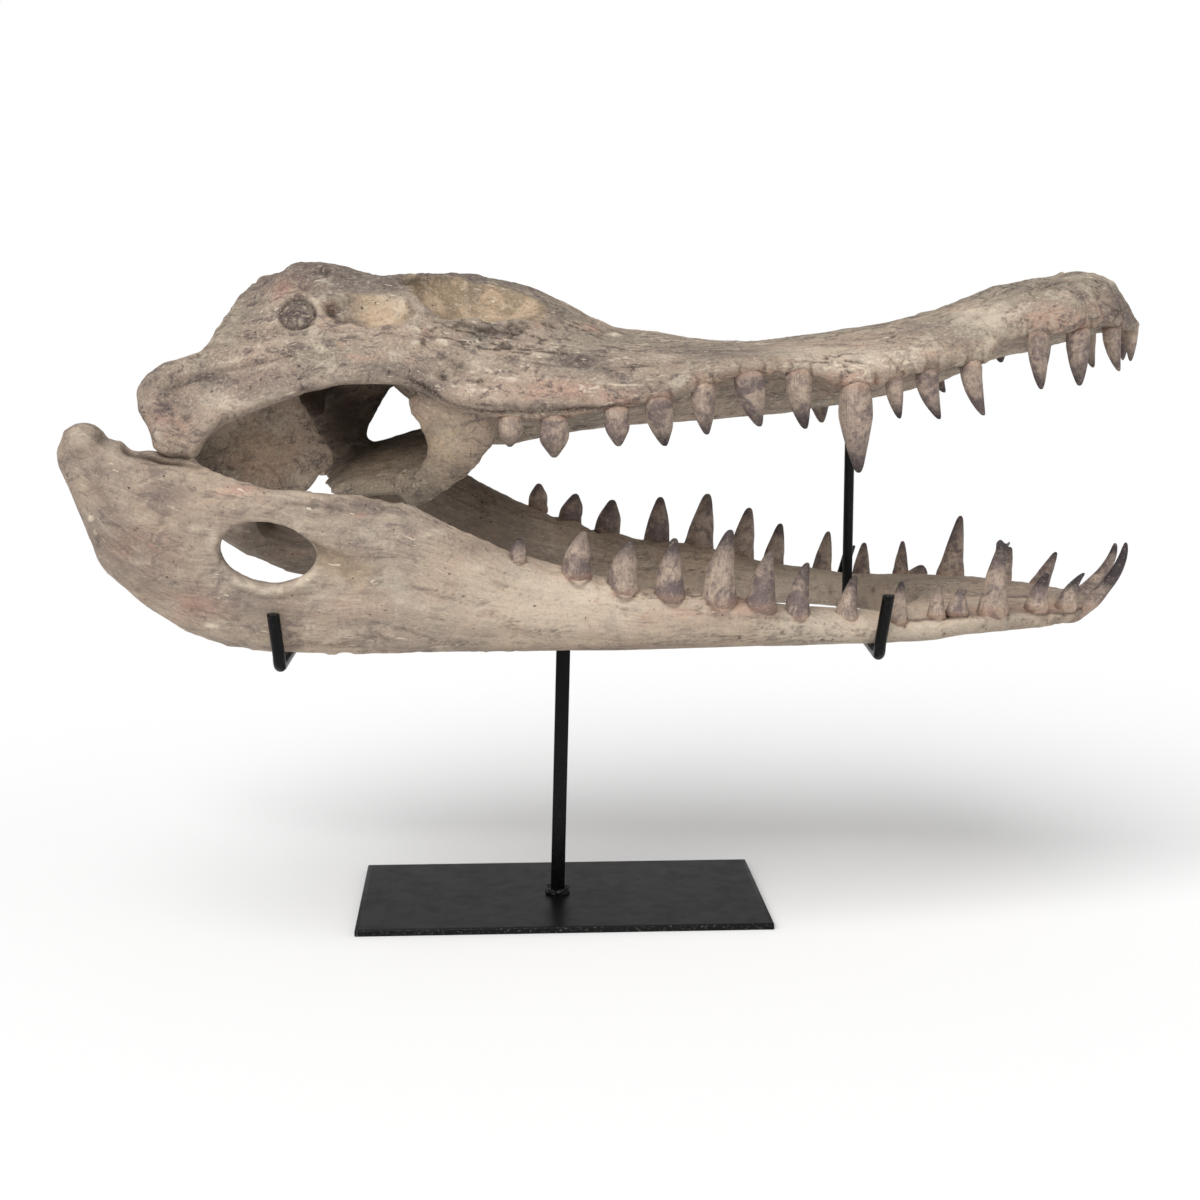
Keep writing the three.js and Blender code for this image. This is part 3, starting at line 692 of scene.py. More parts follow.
@dataclass(frozen=True)
class ToothEnamel:
    """Cast teeth: pale at the root, taupe along the crown, stained nearly black at the tip."""

    name: str
    body: tuple = paint(146, 129, 116)
    pale: tuple = paint(184, 163, 144)
    root: tuple = paint(178, 140, 116)
    tip: tuple = paint(48, 40, 42)
    plum: tuple = paint(90, 77, 78)

    def make(self) -> bpy.types.Material:
        """Build the material.

        Returns:
            The finished material.
        """
        s = Sheet(self.name)
        along, tone, around = s.split(s.kept("crown"))
        blot = s.noise(s.place, 120, 6, 0.74, 0.8)
        cloud = s.noise(s.place, 50, 4, 0.66, 0.5)
        grit = s.noise(s.place, 560, 3, 0.75)
        line = s.tree.nodes.new("ShaderNodeCombineXYZ")
        s.put(line.inputs[0], s.times(around, 60))
        s.put(line.inputs[1], s.times(along, 2.2))
        s.put(line.inputs[2], s.times(tone, 30))
        flute = s.noise(line.outputs[0], 1, 3, 0.6)
        s.colour = s.mix(s.step(blot, 0.36, 0.66), self.body, self.pale)
        s.coat(s.step(cloud, 0.45, 0.6, 0, 0.8), self.plum)
        patch = s.noise(s.place, 270, 5, 0.72, 0.8)
        s.coat(s.step(patch, 0.5, 0.62, 0, 0.6), self.plum)
        s.coat(s.step(patch, 0.45, 0.34, 0, 0.5), self.pale)
        s.coat(s.step(flute, 0.5, 0.7, 0, 0.5), self.plum)
        reach = s.plus(along, s.times(s.math("SUBTRACT", blot, 0.5), 0.9))
        reach = s.plus(reach, s.times(s.math("SUBTRACT", tone, 1.0, clamp=True), 0.7))
        dark = s.times(s.step(reach, 0.5, 0.98), s.step(tone, 0.0, 1.0, 0.45, 1.0))
        s.coat(dark, self.tip)
        base = s.plus(along, s.times(s.math("SUBTRACT", blot, 0.5), 0.35))
        s.coat(s.step(base, 0.1, -0.06, 0, 0.4), self.root)
        s.coat(s.step(grit, 0.55, 0.7, 0, 0.5), self.plum)
        s.coat(s.step(grit, 0.45, 0.33, 0, 0.35), self.pale)
        s.put(s.surface.inputs["Base Color"], s.colour)
        s.put(s.surface.inputs["Roughness"], s.step(cloud, 0.3, 0.7, 0.48, 0.68))
        s.surface.inputs["Specular IOR Level"].default_value = 0.4
        height = s.plus(s.times(flute, 1.0), s.times(grit, 0.3))
        s.relief(height, 0.0006, 0.7)
        return s.material


@dataclass(frozen=True)
class BlackPaint:
    """Satin black paint on steel, a little dusty and rubbed grey on its rims."""

    name: str
    coat: tuple = paint(7, 7, 8)
    deep: tuple = paint(2, 2, 2)
    dust: tuple = paint(20, 20, 20)
    bare: tuple = paint(110, 106, 100)
    roughness: float = 0.3

    def make(self) -> bpy.types.Material:
        """Build the material.

        Returns:
            The finished material.
        """
        s = Sheet(self.name)
        worn, bar, _ = s.split(s.kept("worn"))
        cloud = s.noise(s.place, 30, 4, 0.6)
        grain = s.noise(s.place, 900, 3, 0.6)
        scuff = s.noise(s.place, 70, 4, 0.65, 0.4)
        s.colour = s.mix(s.step(cloud, 0.45, 0.75, 0, 0.3), self.coat, self.dust)
        s.coat(s.step(scuff, 0.66, 0.76, 0, 0.2), self.dust)
        s.coat(s.times(bar, 0.9), self.deep)
        chips = s.times(worn, s.step(s.noise(s.place, 620, 4, 0.7), 0.56, 0.63))
        s.coat(chips, self.bare)
        s.put(s.surface.inputs["Base Color"], s.colour)
        rough = s.step(scuff, 0.3, 0.75, self.roughness, self.roughness + 0.1)
        s.put(s.surface.inputs["Roughness"], rough)
        s.surface.inputs["Specular IOR Level"].default_value = 0.16
        s.relief(grain, 0.0001, 0.4)
        return s.material


@dataclass(frozen=True)
class PaleFloor:
    """The plain pale ground under the stand."""

    name: str = "pale_floor"

    def make(self) -> bpy.types.Material:
        """Build the material.

        Returns:
            The finished material.
        """
        s = Sheet(self.name)
        s.surface.inputs["Base Color"].default_value = (0.92, 0.92, 0.92, 1)
        s.surface.inputs["Roughness"].default_value = 0.9
        s.surface.inputs["Specular IOR Level"].default_value = 0.1
        return s.material


# ---------------------------------------------------------------- teeth


@dataclass(frozen=True)
class Tooth:
    """One tooth: its root's place, its crown's width and length, and how far forward its tip leans.

    Curl bends the lean towards the tip, or backwards below 0, and straight leaves the bend out. Leaf
    and belly swell the crown, notch splits its tip, and slim narrows it above the foot. Show is the
    share of the length that stands out of the bone. Dark and tone set how far the stain reaches.
    Places and sizes are in millimetres.
    """

    x: float
    y: float
    z: float
    width: float
    length: float
    lean: float
    curl: float = 1.0
    leaf: float = 0.0
    notch: float = 0.0
    belly: float = 0.0
    dark: float = 0.0
    slim: float = 1.0
    show: float = 1.0
    straight: bool = False
    tone: float = 1.0

    def bow(self, share: np.ndarray) -> np.ndarray:
        """Tell how far forward the axis lies at each share of the length."""
        return self.lean * (self.curl * share * np.abs(share) + (1 - self.curl) * share)


UPPER_TEETH = (
    Tooth(400, 9, 413, 10, 26, 0), Tooth(379.5, 33, 411, 13, 30, 6), Tooth(351.5, 54, 409, 16.5, 37, 2),
    Tooth(322.5, 63, 406, 15, 36, 3), Tooth(276.5, 69, 387, 15, 34, 9),
    Tooth(245.5, 77, 383, 15.5, 32, 9), Tooth(222.5, 86, 379, 12.5, 27, 4),
    Tooth(196, 95, 374, 25, 57, 3, belly=1.0, slim=0.88), Tooth(158, 98, 383, 17.5, 37, 5),
    Tooth(125.5, 103, 382, 20, 34, 7), Tooth(95, 107, 375, 16, 32, 3, leaf=0.3),
    Tooth(66.5, 111, 366, 18, 30, 4, leaf=0.5), Tooth(39.5, 114, 360, 16.5, 24, 1, leaf=0.7),
    Tooth(-1, 117, 354, 18.5, 25, 0, leaf=1.0), Tooth(-28.5, 118, 355, 15.5, 19, -1, leaf=1.0),
)
LOWER_TEETH = (
    Tooth(371.5, 20, 213, 18, 45, 27, -0.9, dark=1.6, slim=0.7),
    Tooth(352, 45, 219, 14, 22, 11, dark=1.3, slim=0.9), Tooth(328.5, 58, 222, 15, 21, 6, dark=1.2),
    Tooth(295.5, 71, 222, 20, 47, 6, notch=1.0, slim=0.84), Tooth(270, 77, 221, 14, 15, 3, notch=0.6),
    Tooth(255, 82, 220, 11, 19, 1), Tooth(228, 88, 217, 13, 26, 2), Tooth(193, 94, 219, 14, 29, 5),
    Tooth(159, 101, 222, 16, 36, 6), Tooth(134.5, 105, 231, 19, 35, 6),
    Tooth(106.5, 108, 235, 21.5, 46, 7), Tooth(74, 112, 238, 19, 38, 3, leaf=0.3),
    Tooth(43, 116, 243, 20, 32, 5, leaf=0.6), Tooth(13, 120, 254, 18, 28, 5, leaf=0.8),
    Tooth(-24.5, 127, 264, 10, 15, 1, leaf=1.0),
)
WIDE_ROOT = (
    (-0.3, 1.2), (-0.16, 1.2), (-0.07, 1.17), (0.0, 1.13), (0.07, 1.07), (0.17, 0.98), (0.3, 0.88),
    (0.44, 0.78), (0.57, 0.67), (0.69, 0.56), (0.8, 0.45), (0.89, 0.36), (0.955, 0.27), (1.0, 0.15),
)
LEFT_FANG = (7, 22, 36)
LEFT_REAR = (14, 14.5)
LEFT_LOWER_SHIFT = (4, 3, 0, -1.5, 0, 3.5, 1.5, 7, 4.5, 5.5, 1, 2, -5.5, -3.5, 10)
LEFT_LOWER_LENGTH = (0.85, 1, 1, 0.9, 1, 1.25, 0.95, 1.05, 0.9, 1, 0.9, 0.93, 0.87, 0.75, 1.2)
LEFT_UPPER_SHOW = {3: 0.62, 4: 0.75, 5: 0.8}
LEFT_LOWER_SHOW = {4: 0.35}
# the lower jaw leans a little to its left about a line along the skull
ROLL_DEG = 1.8
ROLL_Y = -115.0
ROLL_Z = 204.0


def roll(points: np.ndarray, back: bool = False) -> np.ndarray:
    """Turn places by the slight roll of the lower jaw, or back.

    Args:
        points: N by 3 places in millimetres.
        back: Whether to undo it.

    Returns:
        N by 3 places.
    """
    angle = math.radians(-ROLL_DEG if back else ROLL_DEG)
    out = points.copy()
    y = points[:, 1] - ROLL_Y
    z = points[:, 2] - ROLL_Z
    out[:, 1] = ROLL_Y + y * math.cos(angle) - z * math.sin(angle)
    out[:, 2] = ROLL_Z + y * math.sin(angle) + z * math.cos(angle)
    return out


def tooth_row(jaw: Jaw, side: Side) -> list:
    """List the teeth of one side of one jaw.

    Args:
        jaw: Which jaw.
        side: Which side.

    Returns:
        Tooth entries.
    """
    row = []
    for i, one in enumerate(UPPER_TEETH if jaw is Jaw.UPPER else LOWER_TEETH):
        values = dict(one.__dict__)
        if side is Side.LEFT and jaw is Jaw.UPPER and i == LEFT_FANG[0]:
            values.update(width=LEFT_FANG[1], length=LEFT_FANG[2])
        if side is Side.LEFT and jaw is Jaw.UPPER:
            values.update(show=LEFT_UPPER_SHOW.get(i, 1.0))
        if side is Side.LEFT and jaw is Jaw.LOWER:
            values.update(show=LEFT_LOWER_SHOW.get(i, 1.0), straight=i > 0, tone=0.6)
            values.update(x=one.x + LEFT_LOWER_SHIFT[i], notch=0.0)
            values.update(length=one.length * LEFT_LOWER_LENGTH[i])
            if i == LEFT_REAR[0]:
                values.update(width=LEFT_REAR[1])
        row.append(Tooth(**values))
    return row


@dataclass
class ToothSet:
    """The teeth of one jaw or of one side of it, each bent from one turned crown."""

    name: str
    jaw: Jaw
    sides: tuple
    slot: str
    seed: int = 3
    sides_round: int = 22
    outline: tuple = (
        (-0.3, 0.3), (-0.16, 0.46), (-0.07, 0.7), (0.0, 0.93), (0.07, 1.02), (0.17, 1.0), (0.3, 0.93),
        (0.44, 0.84), (0.57, 0.74), (0.69, 0.62), (0.8, 0.49), (0.89, 0.37), (0.955, 0.26), (1.0, 0.14),
    )

    def blank(self) -> bpy.types.Object:
        """Turn one crown from a disc, of unit length and half-width.

        Returns:
            The crown.
        """
        crown = Bench.disc(self.sides_round, self.outline[0][1], (0, 0, self.outline[0][0]))
        for (low, narrow), (high, wide) in zip(self.outline[:-1], self.outline[1:]):
            bpy.ops.mesh.extrude_region_move(TRANSFORM_OT_translate={"value": (0, 0, high - low)})
            ratio = wide / narrow
            bpy.ops.transform.resize(value=(ratio, ratio, 1), center_override=(0, 0, high))
        bpy.ops.mesh.poke(offset=0.006)
        Bench.finish(crown)
        Bench.modifier(crown, "SUBSURF", levels=1, render_levels=1)
        return crown

    def shape(self, crown: bpy.types.Object, one: Tooth, side: Side, number: int) -> bpy.types.Object:
        """Copy the crown and bend the copy into one tooth.

        Args:
            crown: The turned crown.
            one: The tooth's sizes.
            side: Which side it stands on.
            number: Its number, for its small irregularities.

        Returns:
            The tooth.
        """
        copy = crown.copy()
        copy.data = crown.data.copy()
        bpy.context.collection.objects.link(copy)
        clay = Clay(copy)
        unit = clay.points * MM
        share = unit[:, 2]
        angle = np.arctan2(unit[:, 1], unit[:, 0])
        radius = np.hypot(unit[:, 0], unit[:, 1])
        above = np.clip(share, 0, 1)
        belly = 1 + one.leaf * (0.26 * bell(above, 0.6, 0.28) - 0.04 * bell(above, 0, 0.18))
        belly += one.belly * (0.08 * bell(above, 0.4, 0.22) - 0.16 * bell(above, 0, 0.2))
        foot = 1 + 0.22 * (1 - one.slim) / 0.3 * smooth_step(above, 0.3, 0.0)
        keel = 1 + 0.07 * bell(np.abs(np.cos(angle)), 1, 0.03) * smooth_step(above, 0.05, 0.4)
        rng = np.random.default_rng(self.seed * 100 + number)
        ring = np.column_stack([np.cos(angle) * 1.2, np.sin(angle) * 1.2, share * 3])
        wobble = Grain.layered(ring + rng.uniform(0, 50, 3), (1, 1, 1), 2, self.seed)
        radius = radius * belly * keel * one.slim * foot * (1 + 0.07 * wobble)
        flat = 0.84 + 0.1 * rng.random()
        turn = rng.uniform(-0.18, 0.18)
        x = radius * np.cos(angle) * one.width / 2
        y = radius * np.sin(angle) * one.width / 2 * flat
        x, y = x * math.cos(turn) - y * math.sin(turn), x * math.sin(turn) + y * math.cos(turn)
        height = share * one.length * np.where(share > 0, one.show, 1.0)
        sink = 0.5 * np.clip(-share, 0, 1) * one.length
        if one.notch:
            bite = smooth_step(share, 0.72, 1.0) * bell(np.cos(angle) * radius, 0.05, 0.12)
            height = height - one.notch * bite * one.length * 0.08
            x = x * (1 + one.notch * 1.1 * smooth_step(share, 0.82, 1.0))
        splay = rng.uniform(-0.02, 0.04) * one.length * share * np.abs(share)
        points = np.column_stack([
            one.x + (one.lean * share if one.straight else one.bow(share)) + x,
            side.value * (one.y + splay - sink) + y,
            one.z + self.jaw.value * height,
        ])
        if self.jaw is Jaw.LOWER:
            points = roll(points)
        clay.points = points
        clay.store()
        tone = max(rng.random(), one.dark) * one.tone
        clay.note("crown", np.column_stack([above, np.full(len(share), tone), np.abs(angle) / math.pi]))
        return copy

    def build(self, finish: bpy.types.Material) -> bpy.types.Object:
        """Make all teeth of the set as one piece.

        Args:
            finish: The teeth's material.

        Returns:
            The piece.
        """
        crown = self.blank()
        made = []
        for side in self.sides:
            for one in tooth_row(self.jaw, side):
                made.append(self.shape(crown, one, side, len(made)))
        bpy.data.objects.remove(crown)
        piece = Bench.join(made)
        piece.name = self.name
        piece.data.name = self.name
        Bench.finish(piece)
        Bench.dress(piece, finish, self.slot)
        return piece


# ---------------------------------------------------------------- bones


@dataclass(frozen=True)
class Stroke:
    """A ridge (height above 0) or furrow (below 0) drawn along a line, in millimetres."""

    line: tuple
    half_width: float
    height: float
    stain: float = 0.0

    def reach(self, points: np.ndarray) -> np.ndarray:
        """Tell how strongly the stroke acts on each place, from 0 to 1."""
        return bell(along_line(points, self.line), 0, self.half_width)


@dataclass(frozen=True)
class Spot:
    """A round patch in millimetres: a lump (height above 0) or a pit (below 0), with its stain."""

    place: tuple
    radii: tuple
    height: float
    stain: float = 0.0

    def reach(self, points: np.ndarray) -> np.ndarray:
        """Tell how strongly the spot acts on each place, from 0 to 1."""
        return blob(points, self.place, self.radii)


@dataclass(frozen=True)
class Oval:
    """An ellipsoid in millimetres, for a round opening or a knob."""

    centre: tuple
    radii: tuple

    def away(self, points: np.ndarray) -> np.ndarray:
        """Tell how far out each place lies: 0 at the centre, 1 on the surface."""
        return np.linalg.norm((points - np.array(self.centre)) / np.array(self.radii), axis=1)


def channels(*values: np.ndarray) -> np.ndarray:
    """Put three masks side by side, each held between 0 and 1."""
    return np.clip(np.column_stack(values), 0, 1)


def dab(points: np.ndarray, touches: tuple) -> np.ndarray:
    """Lay touches of colour over a surface.

    Args:
        points: N by 3 places.
        touches: (x, y, z, three radii, strength) of each.

    Returns:
        N strengths from 0 to 1.
    """
    total = np.zeros(len(points))
    for x, y, z, a, b, c, share in touches:
        total = np.maximum(total, share * blob(points, (x, y, z), (a, b, c)))
    return total


def crevices(places: np.ndarray, size: tuple, seed: int, width: float = 0.06) -> np.ndarray:
    """Scatter short broken furrows over a surface.

    Args:
        places: N by 3 places, laid along the grain.
        size: Feature size along each axis.
        seed: Which scatter it is.
        width: How wide the furrows are, as a share of the noise.

    Returns:
        N depths from 0 to 1.
    """
    wave = Grain.layered(places, size, 3, seed)
    where = Grain.layered(places, (size[0] * 1.4, size[1] * 2.6, size[2] * 2.6), 2, seed + 9)
    return bell(wave, 0, width) * smooth_step(where, -0.05, 0.3)


@dataclass
class Bone:
    """A cast bone, sculpted over its CAD node once that node's plain teeth are drawn in."""

    name: str
    node: str
    slot: str
    coarse: float = 3.6
    quick_coarser: float = 1.35
    smooth_rounds: int = 14
    fine_rounds: int = 3
    wide_rounds: int = 14
    rays: int = 14
    ray_seed: int = 5
    ray_start: float = 0.8
    ray_length: float = 70.0
    curve_low: tuple = ()
    curve_high: tuple = ()

    def teeth(self) -> list:
        """List (tooth, jaw, side) of every tooth that stands in this bone."""
        return []

    def local(self, points: np.ndarray) -> np.ndarray:
        """Turn places into the frame in which the teeth are listed."""
        return points

    def copy_node(self) -> bpy.types.Object:
        """Copy the node's mesh and merge its loose triangles.

        Returns:
            The copy, in the same place.
        """
        source = next(o for o in bpy.data.objects if o.type == "MESH" and o.name == self.node)
        mesh = source.data.copy()
        mesh.materials.clear()
        piece = bpy.data.objects.new(self.name, mesh)
        bpy.context.collection.objects.link(piece)
        mesh.transform(source.matrix_world)
        for name in [a.name for a in mesh.attributes if a.name.startswith("custom")]:
            mesh.attributes.remove(mesh.attributes[name])
        Bench.pick(piece)
        Bench.edit()
        bpy.ops.mesh.select_all(action="SELECT")
        bpy.ops.mesh.remove_doubles(threshold=2e-6)
        Bench.leave()
        return piece

    def draw_in_teeth(self, piece: bpy.types.Object) -> None:
        """Push the CAD's own crowns back inside the bone."""
        clay = Clay(piece)
        here = self.local(clay.points)
        for one, jaw, side in self.teeth():
            share = (here[:, 2] - one.z) * jaw.value / one.length
            aside = here[:, 0] - one.x - one.bow(np.clip(share, 0, 1))
            across = here[:, 1] - side.value * one.y
            mine = (share > 0.24) & (share < 1.1) & (np.hypot(aside, across) < 0.62 * one.width + 1)
            here[:, 2] -= jaw.value * (share * one.length + 1.0) * mine
            here[:, 0] -= one.bow(np.clip(share, 0, 1)) * mine
        clay.points = self.unlocal(here)
        clay.store()

    def unlocal(self, points: np.ndarray) -> np.ndarray:
        """Turn places back from the frame in which the teeth are listed."""
        return points

    def thicken(self, piece: bpy.types.Object) -> None:
        """Give the thin plates the body that they need before they are sculpted."""

    def openness(self, piece: bpy.types.Object) -> None:
        """Note how freely light reaches each point of the piece, to lay painted shade where little does.
        """
        clay = Clay(piece)
        normals = clay.normals()
        tree = BVHTree.FromPolygons(
            [tuple(p) for p in clay.points], [tuple(f.vertices) for f in piece.data.polygons])
        rng = np.random.default_rng(self.ray_seed)
        rays = rng.normal(size=(self.rays, 3))
        rays /= np.linalg.norm(rays, axis=1)[:, None]
        seen = np.zeros(len(clay.points))
        for ray in rays:
            facing = normals @ ray
            flip = np.where(facing < 0, -1.0, 1.0)
            for i in range(len(clay.points)):
                way = ray * flip[i]
                start = clay.points[i] + normals[i] * self.ray_start
                if tree.ray_cast(Vector(start), Vector(way), self.ray_length)[0] is None:
                    seen[i] += 1
        seen = clay.spread(seen / len(rays), 3)
        clay.note("open", np.column_stack([seen, seen, seen]))

    def sockets(self, clay: Clay) -> tuple:
        """Raise a collar at each tooth, notch the rim between teeth, and tell where the gums were.

        Args:
            clay: The bone's points.

        Returns:
            Two masks from 0 to 1: the gums, and the seam round each root.
        """
        here = self.local(clay.points)
        mask = np.zeros(len(here))
        swell = np.zeros(len(here))
        seam = np.zeros(len(here))
        rows = self.teeth()
        uneven = 0.75 + 0.9 * Grain.layered(here, (9, 9, 6), 2, 37)
        for one, jaw, side in rows:
            across = here[:, 1] - side.value * one.y
            aside = here[:, 0] - one.x
            depth = (here[:, 2] - one.z) * jaw.value
            ring = np.hypot(aside, across * 1.1) / (one.width / 2)
            level = bell(depth, -3.0, 6.5)
            collar = bell(ring, 1.3, 0.4) * level * uneven
            swell = np.maximum(swell, collar * (0.25 + 0.02 * one.width) * (jaw is Jaw.UPPER))
            mask = np.maximum(mask, bell(ring, 1.03, 0.24) * bell(depth, -1, 3.6))
            seam = np.maximum(seam, bell(ring, 1.04, 0.1) * level)
        for (one, jaw, side), (two, _, other) in zip(rows[:-1], rows[1:]):
            if side is not other:
                continue
            middle = (0.5 * (one.x + two.x), side.value * 0.5 * (one.y + two.y), 0.5 * (one.z + two.z))
            gap = max(abs(one.x - two.x) - 0.5 * (one.width + two.width), 2.0)
            pit = blob(here, middle, (0.42 * gap + 1.5, 8, 5.5))
            swell -= 2.0 * pit
            mask = np.maximum(mask, 0.5 * pit)
        clay.push(swell - 0.5 * seam)
        return np.clip(mask, 0, 1), seam

    def flow(self, clay: Clay) -> np.ndarray:
        """Lay the grain along the bone: a length, a height share and a depth, in metres."""
        here = self.local(clay.points)
        low = np.interp(here[:, 0], *zip(*self.curve_low))
        high = np.interp(here[:, 0], *zip(*self.curve_high))
        share = (here[:, 2] - low) / np.maximum(high - low, 8)
        bend = 0.004 * Grain.layered(here, (60, 40, 40), 2, 71)
        return np.column_stack([here[:, 0] * MM, share * 0.06 + bend, here[:, 1] * MM * 0.6])

    def sculpt(self, clay: Clay) -> dict:
        """Shape the bone's own forms.

        Args:
            clay: The bone's points.

        Returns:
            Masks by name: slit, amber, the painted shade, lit (where no shade is painted), plum, pink and
                cream.
        """
        return dict.fromkeys(
            ("slit", "amber", "cave", "lit", "plum", "pink", "cream"), np.zeros(len(clay.points)))

    def build(self, finish: bpy.types.Material) -> bpy.types.Object:
        """Make the bone.

        Args:
            finish: Its material.

        Returns:
            The piece.
        """
        piece = self.copy_node()
        self.draw_in_teeth(piece)
        self.thicken(piece)
        size = self.coarse * 1.0
        Bench.modifier(piece, "REMESH", mode="VOXEL", voxel_size=size * MM, adaptivity=0)
        clay = Clay(piece)
        clay.relax(self.smooth_rounds)
        clay.store()
        self.openness(piece)
        Bench.modifier(piece, "SUBSURF", levels=1, render_levels=1)
        clay = Clay(piece)
        masks = self.sculpt(clay)
        gums, seam = self.sockets(clay)
        rough = self.roughen(clay)
        clay.push(rough)
        clay.store()
        fine = clay.hollow(self.fine_rounds)
        wide = clay.hollow(self.wide_rounds)
        hollow = smooth_step(fine, 0.12, 0.55) * 0.7 + smooth_step(wide, 0.5, 2.4) * 0.6
        raised = smooth_step(-fine, 0.08, 0.4) * 0.7 + smooth_step(-wide, 0.6, 2.5) * 0.5
        # painted shade: darker where few of the rays from a point get out, left off where the lit mask
        # lies
        cave = smooth_step(clay.noted("open")[:, 0], 0.52, 0.16) * (1 - masks["lit"])
        clay.note("relief", channels(hollow, raised, np.maximum(masks["slit"], 0.7 * seam)))
        clay.note("zones", channels(gums, masks["amber"], np.maximum(cave, masks["cave"])))
        clay.note("tints", channels(masks["plum"], masks["pink"], masks["cream"]))
        clay.note("flow", self.flow(clay))
        piece.data.attributes.remove(piece.data.attributes["open"])
        Bench.thin_out(piece, PIECE_TRIANGLES)
        Bench.finish(piece)
        Bench.dress(piece, finish, self.slot, self.node)
        return piece

    def roughen(self, clay: Clay) -> np.ndarray:
        """Give the small unevenness of the surface, in millimetres."""
        return 0.35 * Grain.layered(clay.points, (14, 9, 9), 3, 31)


